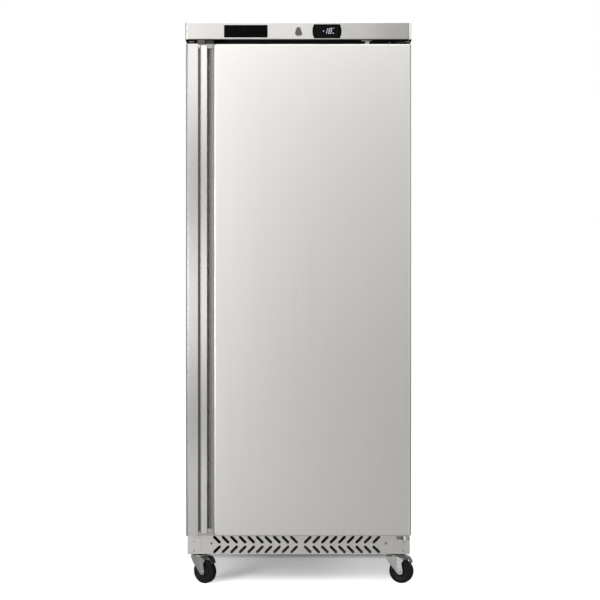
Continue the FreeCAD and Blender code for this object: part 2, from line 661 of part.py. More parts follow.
def grip_cap(z_end, z_out, groove_low, groove_high, space_h):
    """Moulded plug at one end of the grip: end block, ramp in the groove, block in the finger space.

    z_end is where the grip ends and z_out is the plug's outer end; the ramp reaches groove_low into the
    groove at its left and groove_high at its right, and the inner block reaches space_h.
    """
    gap = 0.2
    into = 1 if z_end > z_out else -1

    def at(x, depth):
        return (x, FRONT_Y + depth)

    back = CAVITY_DEPTH - gap
    left, right = GROOVE_LEFT_X + gap, PANEL_LEFT_X - 1.5
    end = prism([at(left, 0.6), at(right, 0.6), at(right, back), at(left, back)], "z",
                *sorted((z_end, z_out)))
    groove = LIP_LEFT_X - GROOVE_LEFT_X
    nose_x = LIP_LEFT_X - gap
    ramp = prism([(left, z_end), (left, z_end + into * groove_low), (nose_x, z_end + into * groove_high),
                  (nose_x, z_end)], "y", FRONT_Y + 0.6, FRONT_Y + groove - gap)
    reach = max(groove_low, groove_high) + 1
    ramp = ramp.cut(lip_nose(gap, *sorted((z_end, z_end + into * reach))))
    slope = (PANEL_LEFT_X - CAVITY_FLOOR_X) / CAVITY_DEPTH
    hook = LIP_HOOK_DEPTH + 1
    wall = LIP_LEFT_X + GRIP_WALL + gap
    block = prism([at(LIP_RIGHT_X + gap, 2), at(PANEL_LEFT_X - slope * 2 - 2.2, 2),
                   at(CAVITY_FLOOR_X - 0.9, back), at(wall, back),
                   at(wall, hook), at(LIP_RIGHT_X + gap, hook)], "z",
                  *sorted((z_end, z_end + into * space_h)))
    return together([end, ramp, block])


def grip_caps():
    """Both plugs, flush with the door's top and bottom; the lower one is taller, and its ramp is level."""
    margin = SKIN_T + 0.3
    top = grip_cap(DOOR_TOP_Z - GRIP_TOP_DROP, DOOR_TOP_Z - margin, 7.5, 14.0, 10.5)
    low = grip_cap(DOOR_LOW_Z + GRIP_LOW_DROP, DOOR_LOW_Z + margin, 6.0, 6.0, 15.0)
    return [top, low]


def door_foam():
    """Foam core: behind the flat skin, behind the grip and its flange, and in the liner's raised part."""
    y1 = DOOR_BACK_Y - LINER_EDGE
    low, high = DOOR_LOW_Z + SKIN_T, DOOR_TOP_Z - SKIN_T
    main = door_block(SKIN_T, SEAM_X, y1)
    pocket = strike_block(1.0, DOOR_TOP_Z - STRIKE_DEPTH - 1, DOOR_TOP_Z + 1)
    grip_y = FRONT_Y + CAVITY_DEPTH + GRIP_WALL + 0.5
    behind = box(GRIP_WALL - HALF_W, SEAM_X, grip_y, y1, low, high)
    flange_x = GROOVE_LEFT_X - GRIP_WALL - 0.5
    flange = box(GRIP_WALL - HALF_W, flange_x, FRONT_Y + EDGE_BEND, grip_y, low, high)
    rise = PLUG_RISE - LINER_EDGE
    raised = box(LINER_EDGE - PLUG_X, PLUG_X - LINER_EDGE, DOOR_BACK_Y - LINER_EDGE, DOOR_BACK_Y + rise,
                 PLUG_LOW_Z + LINER_EDGE, PLUG_HIGH_Z - LINER_EDGE)
    raised = rounded(raised, 12, lambda e: mid(e).y > DOOR_BACK_Y + 10 or runs_along(e, "y"))
    return [main.cut(Part.makeCompound([pocket] + hinge_bores())), behind, flange, raised]


def door_liner():
    """Moulded white inner face of the door, raised in the middle so that it enters the cold space."""
    y0 = DOOR_BACK_Y - LINER_EDGE
    sheet = box(1 - HALF_W, HALF_W - 1, y0, DOOR_BACK_Y, DOOR_LOW_Z + 1, DOOR_TOP_Z - 1)
    raised = box(-PLUG_X, PLUG_X, y0, DOOR_BACK_Y + PLUG_RISE, PLUG_LOW_Z, PLUG_HIGH_Z)
    raised = rounded(raised, 14, lambda e: mid(e).y > DOOR_BACK_Y + 10 or runs_along(e, "y"))
    return together([sheet, raised]).cut(door_foam()[-1])


def door_gasket():
    """Magnetic seal: four strips mitred at the corners."""
    x1 = HALF_W - GASKET_INSET
    z0, z1 = DOOR_LOW_Z + GASKET_INSET, DOOR_TOP_Z - GASKET_INSET
    y0, y1 = DOOR_BACK_Y, CABINET_Y - 0.5
    w = GASKET_W
    strips = [
        [(-x1, z0), (x1, z0), (x1 - w, z0 + w), (w - x1, z0 + w)],
        [(-x1, z1), (x1, z1), (x1 - w, z1 - w), (w - x1, z1 - w)],
        [(-x1, z0), (-x1, z1), (w - x1, z1 - w), (w - x1, z0 + w)],
        [(x1, z0), (x1, z1), (x1 - w, z1 - w), (x1 - w, z0 + w)],
    ]
    return [prism(s, "y", y0, y1) for s in strips]


# ---------------------------------------------------------------- fascia fittings

def lock_housing():
    """Chromed bezel, threaded barrel and nut that hold the lock in the fascia."""
    centre = Vector(0, FRONT_Y, FITTING_Z)
    bezel = Part.makeCone(LOCK_BEZEL_R, LOCK_BEZEL_R - 2, 3, centre, Vector(0, -1, 0))
    barrel = rod(LOCK_BARREL_R, (0, FRONT_Y - 1, FITTING_Z), (0, FRONT_Y + 24, FITTING_Z))
    nut = prism(hexagon(0, FITTING_Z, 15), "y", FRONT_Y + SHEET, FRONT_Y + SHEET + 4)
    bore = rod(LOCK_PLUG_R + RUNNING_GAP, (0, FRONT_Y - 5, FITTING_Z), (0, FRONT_Y + 30, FITTING_Z))
    return together([bezel, barrel, nut]).cut(bore)


def lock_plug():
    """Turning plug with a keyway across its face."""
    plug = rod(LOCK_PLUG_R, (0, FRONT_Y - 2.5, FITTING_Z), (0, CAM_Y - 1, FITTING_Z))
    keyway = box(-1, 1, FRONT_Y - 4, FRONT_Y + 12, FITTING_Z - 4.5, FITTING_Z + 4.5)
    return plug.cut(keyway)


def lock_cam():
    """Flat cam on the back of the plug; at rest it points left, clear of the door."""
    blade = box(-CAM_LENGTH, 0, CAM_Y - 1, CAM_Y + 1, FITTING_Z - 7, FITTING_Z + 7)
    blade = rounded(blade, 5, lambda e: runs_along(e, "y") and mid(e).x < -40)
    hub = rod(9, (0, CAM_Y - 1, FITTING_Z), (0, CAM_Y + 1, FITTING_Z))
    screw = rod(4, (0, CAM_Y, FITTING_Z), (0, CAM_Y + 4, FITTING_Z))
    return together([blade, hub, screw])


def display_panel():
    """Glossy black front of the controller, in one piece with its frame."""
    front = display_outline(0, FRONT_Y - 3.5, FRONT_Y)
    return rounded(front, 1.2, lambda e: mid(e).y < FRONT_Y - 3.4)


def controller_body():
    """Controller box behind the fascia, clipped into the display opening."""
    neck = box(DISPLAY_X - 40, DISPLAY_X + 40, FRONT_Y, FRONT_Y + 62, FITTING_Z - 18, FITTING_Z + 18)
    terminals = box(DISPLAY_X - 36, DISPLAY_X + 36, FRONT_Y + 62, FRONT_Y + 74,
                    FITTING_Z - 12, FITTING_Z + 12)
    return together([neck, terminals])


def badge_plate():
    """Bare black plate on the left of the fascia."""
    plate = box(BADGE_X - BADGE_W / 2, BADGE_X + BADGE_W / 2, FRONT_Y - 1.5, FRONT_Y,
                FITTING_Z - BADGE_H / 2, FITTING_Z + BADGE_H / 2)
    return rounded(plate, 3.5, lambda e: runs_along(e, "y"))


# ---------------------------------------------------------------- cold circuit inside

def shelf_heights():
    """Tube centre height of each evaporator shelf, lowest first."""
    return [SHELF_LOW_Z + k * SHELF_PITCH for k in range(SHELF_COUNT)]


def shelf_tube(z):
    """One shelf: tube bent to and fro from the back left to the back right."""
    points = [(-RUN_X, SHELF_BACK_Y, z)]
    for k in range(RUN_COUNT - 1):
        x = -RUN_X + k * RUN_PITCH
        y = SHELF_FRONT_Y if k % 2 == 0 else SHELF_BACK_Y - 20
        points += [(x, y, z), (x + RUN_PITCH, y, z)]
    points.append((RUN_X, SHELF_BACK_Y, z))
    return tube(points, RUN_PITCH / 2 - 0.5, TUBE_R)


def riser(x, low_z, high_z):
    """Link between two shelves, behind them."""
    return tube([(x, SHELF_BACK_Y, low_z), (x, PIPE_DOWN_Y, low_z), (x, PIPE_DOWN_Y, high_z),
                 (x, SHELF_BACK_Y, high_z)], 10, TUBE_R)


def evaporator_coil():
    """All six shelves, the links between them and the two ends that go down to the machinery."""
    heights = shelf_heights()
    solids = [shelf_tube(z) for z in heights]
    for k, (low, high) in enumerate(zip(heights, heights[1:])):
        solids.append(riser(RUN_X if k % 2 == 0 else -RUN_X, low, high))
    down_z = MACHINE_TOP_Z - 20
    first, last = PIPE_DOWN_X
    solids.append(tube([(first, SHELF_BACK_Y, heights[0]), (first, PIPE_DOWN_Y, heights[0]),
                        (first, PIPE_DOWN_Y, down_z)], 10, TUBE_R))
    top = heights[-1]
    solids.append(tube([(-RUN_X, SHELF_BACK_Y, top), (-RUN_X, PIPE_DOWN_Y - 8, top),
                        (last, PIPE_DOWN_Y, top - 0.001), (last, PIPE_DOWN_Y, down_z)], 6, TUBE_R))
    return solids


def shelf_wires():
    """Wires across the tube runs of every shelf, resting on them."""
    count = int((SHELF_BACK_Y - 25 - SHELF_FRONT_Y - 10) // WIRE_PITCH) + 1
    wires = []
    for z in shelf_heights():
        wire_z = z + TUBE_R + WIRE_R
        for k in range(count):
            y = SHELF_FRONT_Y + 10 + k * WIRE_PITCH
            wires.append(rod(WIRE_R, (-RUN_X - 6, y, wire_z), (RUN_X + 6, y, wire_z)))
    return wires


def shelf_rails():
    """Ledges on both side walls that carry the shelves."""
    rails = []
    for z in shelf_heights():
        rail = box(RUN_X - 6, CAVITY_X, SHELF_FRONT_Y + 15, SHELF_BACK_Y - 25,
                   z - TUBE_R - 12, z - TUBE_R)
        rail = rounded(rail, 5, lambda e: runs_along(e, "z") and mid(e).x < CAVITY_X - 1)
        rails += [rail, mirrored(rail)]
    return rails


def probe():
    """Temperature probe in its clip on the right wall."""
    z = SHELF_LOW_Z + 3.5 * SHELF_PITCH
    clip = box(CAVITY_X - 12, CAVITY_X, 150, 166, z - 8, z + 8)
    sensor = rod(3, (CAVITY_X - 6, 130, z), (CAVITY_X - 6, 186, z))
    return together([clip, sensor])


# ---------------------------------------------------------------- machinery at the back of the base

MOTOR_X, MOTOR_Y = 150.0, 200.0    # compressor
SHELL_R = 82.0
CONDENSER_X0, CONDENSER_X1 = -305.0, -65.0
CONDENSER_Y0, CONDENSER_Y1 = 60.0, 110.0
CONDENSER_Z0, CONDENSER_Z1 = 125.0, 345.0
FAN_X = (CONDENSER_X0 + CONDENSER_X1) / 2
FAN_Z = (CONDENSER_Z0 + CONDENSER_Z1) / 2
FAN_R = 92.0
FAN_Y = 140.0
COIL_R = 4.5
PAN_TOP = PAN_Z + PAN_T


def feet_places():
    """Centres of the compressor's four feet."""
    return [(MOTOR_X + sx * 85, MOTOR_Y + sy * 55) for sx in (-1, 1) for sy in (-1, 1)]


def compressor():
    """Welded steel can of two drawn halves with a seam flange, on its pressed foot plate."""
    can = rod(SHELL_R, (MOTOR_X, MOTOR_Y, PAN_TOP + 22), (MOTOR_X, MOTOR_Y, PAN_TOP + 185))
    can = rounded(can, 34, lambda e: mid(e).z > PAN_TOP + 184)
    can = rounded(can, 22, lambda e: mid(e).z < PAN_TOP + 23)
    seam = rod(SHELL_R + 4, (MOTOR_X, MOTOR_Y, PAN_TOP + 105), (MOTOR_X, MOTOR_Y, PAN_TOP + 111))
    plate = box(MOTOR_X - 105, MOTOR_X + 105, MOTOR_Y - 72, MOTOR_Y + 72, PAN_TOP + 18, PAN_TOP + 21)
    plate = rounded(plate, 15, lambda e: runs_along(e, "z"))
    holes = [rod(8, (x, y, PAN_TOP + 10), (x, y, PAN_TOP + 30)) for x, y in feet_places()]
    neck = rod(30, (MOTOR_X, MOTOR_Y, PAN_TOP + 20), (MOTOR_X, MOTOR_Y, PAN_TOP + 24))
    return together([can, seam, neck, plate.cut(Part.makeCompound(holes))])


def compressor_grommets():
    """Rubber feet between the plate and the base, each with its bolt."""
    solids = []
    for x, y in feet_places():
        wide = rod(14, (x, y, PAN_TOP), (x, y, PAN_TOP + 18))
        neck = rod(7.8, (x, y, PAN_TOP + 18), (x, y, PAN_TOP + 22))
        cap = rod(12, (x, y, PAN_TOP + 21), (x, y, PAN_TOP + 25))
        solids.append(together([wide, neck, cap]))
    return solids


def terminal_cover():
    """Plastic cover over the compressor's relay and terminals."""
    cover = box(MOTOR_X + 74, MOTOR_X + 128, MOTOR_Y - 34, MOTOR_Y + 34, PAN_TOP + 60, PAN_TOP + 130)
    cover = rounded(cover, 6, lambda e: mid(e).x > MOTOR_X + 120)
    return cover.cut(compressor())


def condenser_rows():
    """Tube centres of the condenser in Y and Z."""
    return [(y, CONDENSER_Z0 + 20 + k * 30) for y in (73.0, 97.0) for k in range(7)]


def condenser_fins():
    """Plate fins with a hole for every tube pass."""
    holes = [rod(COIL_R + 0.1, (CONDENSER_X0 - 1, y, z), (CONDENSER_X0 + 3, y, z))
             for y, z in condenser_rows()]
    fin = box(CONDENSER_X0, CONDENSER_X0 + 1, CONDENSER_Y0, CONDENSER_Y1, CONDENSER_Z0, CONDENSER_Z1)
    fin = fin.cut(Part.makeCompound(holes))
    pitch = 8.0
    count = int((CONDENSER_X1 - CONDENSER_X0) // pitch) + 1
    return [fin.translated(Vector(k * pitch, 0, 0)) for k in range(count)]


def condenser_coil():
    """Straight passes through the fins, joined by bends outside them, one coil in each row."""
    coils = []
    for y in (73.0, 97.0):
        heights = [z for row_y, z in condenser_rows() if row_y == y]
        points = [(CONDENSER_X1 + 30, y, heights[0])]
        for k, z in enumerate(heights[:-1]):
            x = CONDENSER_X0 - 17 if k % 2 == 0 else CONDENSER_X1 + 17
            points += [(x, y, z), (x, y, heights[k + 1])]
        points.append((CONDENSER_X0 - 18, y, heights[-1]))
        coils.append(tube(points, 14.5, COIL_R))
    return coils


def fan_shroud():
    """Sheet with a round mouth and a short collar, between condenser and fan."""
    plate = box(CONDENSER_X0 - 5, CONDENSER_X1 + 5, CONDENSER_Y1 + 4, CONDENSER_Y1 + 5.2,
                PAN_TOP, CONDENSER_Z1 + 5)
    y0 = CONDENSER_Y1 + 4
    collar = rod(FAN_R + 6, (FAN_X, y0, FAN_Z), (FAN_X, y0 + 22, FAN_Z))
    mouth = rod(FAN_R + 4.8, (FAN_X, y0 - 1, FAN_Z), (FAN_X, y0 + 30, FAN_Z))
    return together([plate, collar]).cut(mouth)


def fan_motor():
    """Fan motor on a bracket that stands on the base."""
    body = rod(34, (FAN_X, FAN_Y + 20, FAN_Z), (FAN_X, FAN_Y + 72, FAN_Z))
    body = rounded(body, 8, lambda e: mid(e).y > FAN_Y + 70)
    shaft = rod(4, (FAN_X, FAN_Y - 2, FAN_Z), (FAN_X, FAN_Y + 22, FAN_Z))
    post = box(FAN_X - 20, FAN_X + 20, FAN_Y + 40, FAN_Y + 43, PAN_TOP, FAN_Z)
    foot = box(FAN_X - 35, FAN_X + 35, FAN_Y + 40, FAN_Y + 75, PAN_TOP, PAN_TOP + 3)
    return together([body, shaft, post, foot])


def fan_rotor():
    """Hub with five pitched blades on the motor shaft."""
    hub = rod(24, (FAN_X, FAN_Y - 8, FAN_Z), (FAN_X, FAN_Y + 16, FAN_Z))
    blade = box(-26, 26, -1.0, 1.0, 20, FAN_R)
    blade = rounded(blade, 14, lambda e: runs_along(e, "y") and mid(e).z > FAN_R - 1)
    blade.rotate(Vector(0, 0, 0), Vector(0, 0, 1), 28)
    blades = []
    for k in range(5):
        turned = blade.copy()
        turned.rotate(Vector(0, 0, 0), Vector(0, 1, 0), 72 * k)
        turned.translate(Vector(FAN_X, FAN_Y + 4, FAN_Z))
        blades.append(turned)
    bore = rod(4 + RUNNING_GAP, (FAN_X, FAN_Y - 20, FAN_Z), (FAN_X, FAN_Y + 30, FAN_Z))
    return together([hub] + blades).cut(bore)


def filter_drier():
    """Copper drier between condenser and capillary."""
    body = rod(11, (-10, 150, 160), (-10, 250, 160))
    body = rounded(body, 8, lambda e: True)
    ends = rod(3, (-10, 135, 160), (-10, 265, 160))
    return together([body, ends])


def refrigerant_pipes():
    """Suction, discharge and liquid lines."""
    first_x, last_x = PIPE_DOWN_X
    down = MACHINE_TOP_Z - 20
    high, low = PAN_TOP + 221, PAN_TOP + 61
    suction = tube([(last_x, PIPE_DOWN_Y, down), (last_x, PIPE_DOWN_Y, high), (last_x, 310, high),
                    (MOTOR_X, 310, high), (MOTOR_X, 310, low), (MOTOR_X, MOTOR_Y + SHELL_R - 1, low)],
                   12, TUBE_R)
    z0 = condenser_rows()[0][1]
    discharge = tube([(CONDENSER_X1 + 30, 73, z0), (MOTOR_X, 73, z0),
                      (MOTOR_X, MOTOR_Y - SHELL_R + 1, z0)], 14, TUBE_R)
    liquid = tube([(CONDENSER_X1 + 30, 97, z0), (-10, 97, z0), (-10, 97, 160), (-10, 135, 160)], 7, 3)
    capillary = tube([(-10, 265, 160), (-10, 295, 160), (-10, 295, 330), (first_x, 295, 330),
                      (first_x, 295, down - 4), (first_x, PIPE_DOWN_Y, down - 4),
                      (first_x, PIPE_DOWN_Y, down)], 1.9, 1.5)
    cans = compressor()
    return [suction.cut(cans), discharge.cut(cans), liquid, capillary]


def drip_tray():
    """Open tray over the compressor that catches and dries defrost water."""
    z0 = PAN_TOP + 188
    outer = box(MOTOR_X - 95, MOTOR_X + 95, MOTOR_Y - 70, MOTOR_Y + 70, z0, z0 + 32)
    inner = box(MOTOR_X - 92.5, MOTOR_X + 92.5, MOTOR_Y - 67.5, MOTOR_Y + 67.5, z0 + 2.5, z0 + 40)
    outer = rounded(outer, 16, lambda e: runs_along(e, "z"))
    inner = rounded(inner, 13.5, lambda e: runs_along(e, "z"))
    seat = rod(30, (MOTOR_X, MOTOR_Y, PAN_TOP + 184), (MOTOR_X, MOTOR_Y, z0 + 1))
    return together([outer, seat]).cut(inner).cut(compressor())


GLAND_X, GLAND_Z = 300.0, 160.0
GLAND_BORE_R = 4.0


def rear_cover():
    """Louvred sheet over the machine space, with the hole for the cable gland."""
    sheet = box(-HALF_W, HALF_W, BACK_Y - SHEET, BACK_Y, BASE_Z + 1, MACHINE_TOP_Z - 1)
    slots = [slot_bar((x - 60, z), (x + 60, z), 4, BACK_Y - 3, BACK_Y + 2)
             for x in (-220, 0, 220) for z in [200 + 22 * k for k in range(7)]]
    gland = rod(9.1, (GLAND_X, BACK_Y - 3, GLAND_Z), (GLAND_X, BACK_Y + 2, GLAND_Z))
    return sheet.cut(Part.makeCompound(slots + [gland]))


def cable_gland():
    """Flanged bush for the mains lead, with an open bore."""
    body = rod(9, (GLAND_X, BACK_Y - 16, GLAND_Z), (GLAND_X, BACK_Y, GLAND_Z))
    flange = rod(13, (GLAND_X, BACK_Y, GLAND_Z), (GLAND_X, BACK_Y + 3.5, GLAND_Z))
    bore = rod(GLAND_BORE_R, (GLAND_X, BACK_Y - 20, GLAND_Z), (GLAND_X, BACK_Y + 10, GLAND_Z))
    return together([body, flange]).cut(bore)


# ---------------------------------------------------------------- screws and bolts

def pan_head(x, y, z, facing, radius, height):
    """Cross-head screw head whose face looks along facing on Y (-1 front, +1 back)."""
    head = Part.makeCone(radius, radius * 0.72, height, Vector(x, y, z), Vector(0, facing, 0))
    tip = y + facing * height
    y0, y1 = sorted((tip - facing * 0.6 * height, tip + facing))
    arm = radius * 0.58
    across = box(x - arm, x + arm, y0, y1, z - 0.5, z + 0.5)
    upright = box(x - 0.5, x + 0.5, y0, y1, z - arm, z + arm)
    return head.cut(Part.makeCompound([across, upright]))


def front_screws():
    """Two plinth screws, two rivets on each corner plate."""
    solids = [pan_head(x, CABINET_Y, PLINTH_SCREW_Z, -1, 5.0, 2.6)
              for x in (-PLINTH_SCREW_X, PLINTH_SCREW_X)]
    for x, y in ((-363, CABINET_Y - 2.5), (363, CABINET_Y - BRACKET_T)):
        for z in (125.0, 156.0):
            head = rod(3.2, (x, y, z), (x, y - 1.6, z))
            solids.append(rounded(head, 1.2, lambda e, y=y: mid(e).y < y - 1.5))
    return solids


def flush_head(x, z):
    """Cross-head countersunk screw head, level with the back panel."""
    y0, y1 = BACK_Y - 0.6 * SHEET, BACK_Y + 1
    across = box(x - 2, x + 2, y0, y1, z - 0.5, z + 0.5)
    upright = box(x - 0.5, x + 0.5, y0, y1, z - 2, z + 2)
    return flush_cone(x, z).cut(Part.makeCompound([across, upright]))


def rear_screws():
    """Raised screws around the rear cover, flush ones down the back panel."""
    places = [(x, z) for x in (-372, -124, 124, 372) for z in (122, MACHINE_TOP_Z - 12)]
    raised = [pan_head(x, BACK_Y, z, 1, 3.6, 1.8) for x, z in places]
    return raised + [flush_head(x, z) for x, z in BACK_SCREWS]


# ---------------------------------------------------------------- castors

PLATE_HALF_X, PLATE_HALF_Y, PLATE_T = 36.0, 32.0, 3.5
PLATE_TOP_Z = 109.5
PLATE_LOW_Z = PLATE_TOP_Z - PLATE_T
CUP_R = 24.0               # fixed half of the swivel bearing, under the plate
CUP_LOW_Z = PLATE_LOW_Z - 4.3
HEAD_R = 33.5              # turning half: a wide disc on a neck
HEAD_LOW_Z = 96.8
NECK_R = 19.0
CROWN_TOP_Z = 93.0
FORK_T = 2.5
FORK_OUT_Y = 19.5          # outer faces of the fork's legs
FORK_BACK_X, FORK_CREASE_X, FORK_FRONT_X = -35.0, 7.5, 32.0
FORK_DRAW_IN = 7.0         # each leg comes in by this much between its crease and its back edge
CROWN_END_X = 18.0         # the crown stops here, to leave room for the pedal
KINGPIN_R = 5.0
AXLE_R = 4.0
LEG_END_R = 10.5
PEDAL_PIVOT = (26.5, 87.0)     # along the trail and height of the brake pedal's pin
PEDAL_PIN_R = 2.0
PEDAL_HALF_W = 15.0
PEDAL_T = 2.2

# name: (x, y, swivel angle in degrees, has a brake)
CASTORS = {
    "front_left": (-CASTOR_X, CASTOR_FRONT_Y, -34.0, True),
    "front_right": (CASTOR_X, CASTOR_FRONT_Y, -23.0, True),
    "rear_left": (-CASTOR_X, CASTOR_REAR_Y, 157.0, False),
    "rear_right": (CASTOR_X, CASTOR_REAR_Y, 146.0, False),
}


def placed(shape, castor):
    """Castor piece, made about the swivel line with the wheel trailing along +X, put in its place."""
    x, y, angle, _ = CASTORS[castor]
    shape = shape.copy()
    shape.rotate(Vector(0, 0, 0), Vector(0, 0, 1), angle)
    shape.translate(Vector(x, y, 0))
    return shape


def castor_plates():
    """Top plates with the fixed half of each swivel bearing and its kingpin."""
    under_crown = CROWN_TOP_Z - FORK_T - 0.3
    solids = []
    for x, y, _, _ in CASTORS.values():
        plate = box(x - PLATE_HALF_X, x + PLATE_HALF_X, y - PLATE_HALF_Y, y + PLATE_HALF_Y,
                    PLATE_LOW_Z, PLATE_TOP_Z)
        plate = rounded(plate, 8, lambda e: runs_along(e, "z"))
        foot = Vector(x, y, CUP_LOW_Z)
        cup = Part.makeCone(CUP_R - 2, CUP_R, PLATE_LOW_Z - CUP_LOW_Z, foot, Vector(0, 0, 1))
        pin = rod(KINGPIN_R, (x, y, under_crown - 1), (x, y, PLATE_LOW_Z))
        head = rod(8.5, (x, y, under_crown - 2.5), (x, y, under_crown))
        solids.append(together([plate, cup, pin, head]))
    return solids


def castor_bolts():
    """Four hexagon bolt heads under each plate."""
    return [
        prism(hexagon(x + dx, y + dy, 5.5), "z", PLATE_LOW_Z - 3.5, PLATE_LOW_Z)
        for x, y, _, _ in CASTORS.values() for dx in (-29, 29) for dy in (-24, 24)
    ]


def fork_channel(inset, over, low_z, top_z):
    """Filled plan of the fork, drawn in towards its leading edge; inset at its sides, and longer by over
    at both ends."""
    side = FORK_OUT_Y - inset
    draw_in = FORK_DRAW_IN / (FORK_CREASE_X - FORK_BACK_X)
    nose = side - draw_in * (FORK_CREASE_X - FORK_BACK_X + over)
    return prism([
        (FORK_FRONT_X + over, -side), (FORK_CREASE_X, -side), (FORK_BACK_X - over, -nose),
        (FORK_BACK_X - over, nose), (FORK_CREASE_X, side), (FORK_FRONT_X + over, side),
    ], "z", low_z, top_z)


def swivel_head():
    """Turning half of the bearing: a wide disc with a rounded rim, on a neck down to the crown."""
    disc = rod(HEAD_R, (0, 0, HEAD_LOW_Z), (0, 0, CUP_LOW_Z - 0.4))
    disc = rounded(disc, 1.5, lambda e: True)
    return together([disc, rod(NECK_R, (0, 0, CROWN_TOP_Z - 1), (0, 0, HEAD_LOW_Z + 1))])


def castor_fork(braked):
    """Pressed fork: crown with the turning half of the bearing, and two creased, tapering legs."""
    x, z = CASTOR_TRAIL, WHEEL_R
    outer = fork_channel(0, 0, z - 14, CROWN_TOP_Z)
    outer = rounded(outer, 2, lambda e: mid(e).z > CROWN_TOP_Z - 0.1 and not runs_along(e, "y"))
    channel = outer.cut(fork_channel(FORK_T, 5, z - 15, CROWN_TOP_Z - FORK_T))
    under = CROWN_TOP_Z - FORK_T - 0.1
    side = prism([
        (FORK_BACK_X, CROWN_TOP_Z + 1), (FORK_BACK_X, 86.0), (-23.5, 70.0), (x - 7.9, z - 6.9), (x, z),
        (x + LEG_END_R - 0.1, z + 1.7), (24.5, 73.0), (31.5, 82.0), (31.5, 87.5), (28.5, under),
        (CROWN_END_X, under), (CROWN_END_X, CROWN_TOP_Z + 1),
    ], "y", -30, 30)
    side = side.fuse(rod(LEG_END_R, (x, -30, z), (x, 30, z)))
    fork = channel.common(side)
    cuts = [
        rod(KINGPIN_R + RUNNING_GAP, (0, 0, 80), (0, 0, 120)),
        rod(AXLE_R + 0.02, (x, -30, z), (x, 30, z)),
    ]
    if braked:
        px, pz = PEDAL_PIVOT
        cuts.append(rod(PEDAL_PIN_R + RUNNING_GAP, (px, -30, pz), (px, 30, pz)))
    return together([fork, swivel_head()]).cut(Part.makeCompound(cuts))


def castor_axle():
    """Axle rivet: a pin through wheel and fork with a domed head outside each leg."""
    x, z = CASTOR_TRAIL, WHEEL_R
    shank = rod(AXLE_R, (x, -FORK_OUT_Y - 0.1, z), (x, FORK_OUT_Y + 0.1, z))
    heads = []
    for side in (-1, 1):
        head = rod(5.6, (x, side * FORK_OUT_Y, z), (x, side * (FORK_OUT_Y + 2.4), z))
        heads.append(rounded(head, 2.0, lambda e, side=side: mid(e).y * side > FORK_OUT_Y + 2))
    return together([shank] + heads)


def castor_wheel():
    """Solid wheel with rounded tread edges, dished sides and a hub bored for the axle."""
    x, z = CASTOR_TRAIL, WHEEL_R
    tyre = rod(WHEEL_R, (x, -WHEEL_HALF_W, z), (x, WHEEL_HALF_W, z))
    tyre = rounded(tyre, 4, lambda e: True)
    dishes = [rod(WHEEL_R - 11, (x, s * (WHEEL_HALF_W - 2.5), z), (x, s * (WHEEL_HALF_W + 1), z))
              for s in (-1, 1)]
    hub = rod(11, (x, -WHEEL_HALF_W - 1.8, z), (x, WHEEL_HALF_W + 1.8, z))
    bore = rod(AXLE_R + RUNNING_GAP, (x, -30, z), (x, 30, z))
    return together([tyre.cut(Part.makeCompound(dishes)), hub]).cut(bore)


def pedal_plan(inset):
    """Block with the pedal's plan, narrower towards its tip, inset at its sides."""
    w, tip = PEDAL_HALF_W - inset, 10.0 - inset
    return prism([(10, -w), (38, -w), (62, -tip), (62, tip), (38, w), (10, w)], "z", 60, 110)


def castor_pedal():
    """Foot pedal of the brake: a bent strip over the wheel with two ears, on a pin through the fork."""
    strip = prism([
        (21.0, 94.2), (31.0, 95.6), (37.0, 96.4), (45.0, 93.5), (51.5, 87.5), (55.5, 80.5), (58.2, 73.5),
        (56.0, 72.8), (53.5, 79.4), (49.8, 85.9), (44.1, 91.2), (36.8, 94.1), (31.0, 93.4), (21.0, 92.0),
    ], "y", -PEDAL_HALF_W, PEDAL_HALF_W).common(pedal_plan(0))
    ears = prism([
        (21.0, 93.5), (21.5, 85.0), (25.0, 82.5), (36.0, 84.5), (47.0, 84.5), (50.5, 85.6),
        (45.0, 92.0), (37.0, 95.5), (31.0, 94.5),
    ], "y", -PEDAL_HALF_W, PEDAL_HALF_W).common(pedal_plan(0)).cut(pedal_plan(PEDAL_T))
    px, pz = PEDAL_PIVOT
    pin = rod(PEDAL_PIN_R, (px, -FORK_OUT_Y - 1.5, pz), (px, FORK_OUT_Y + 1.5, pz))
    return together([strip, ears, pin])


# ---------------------------------------------------------------- write every node

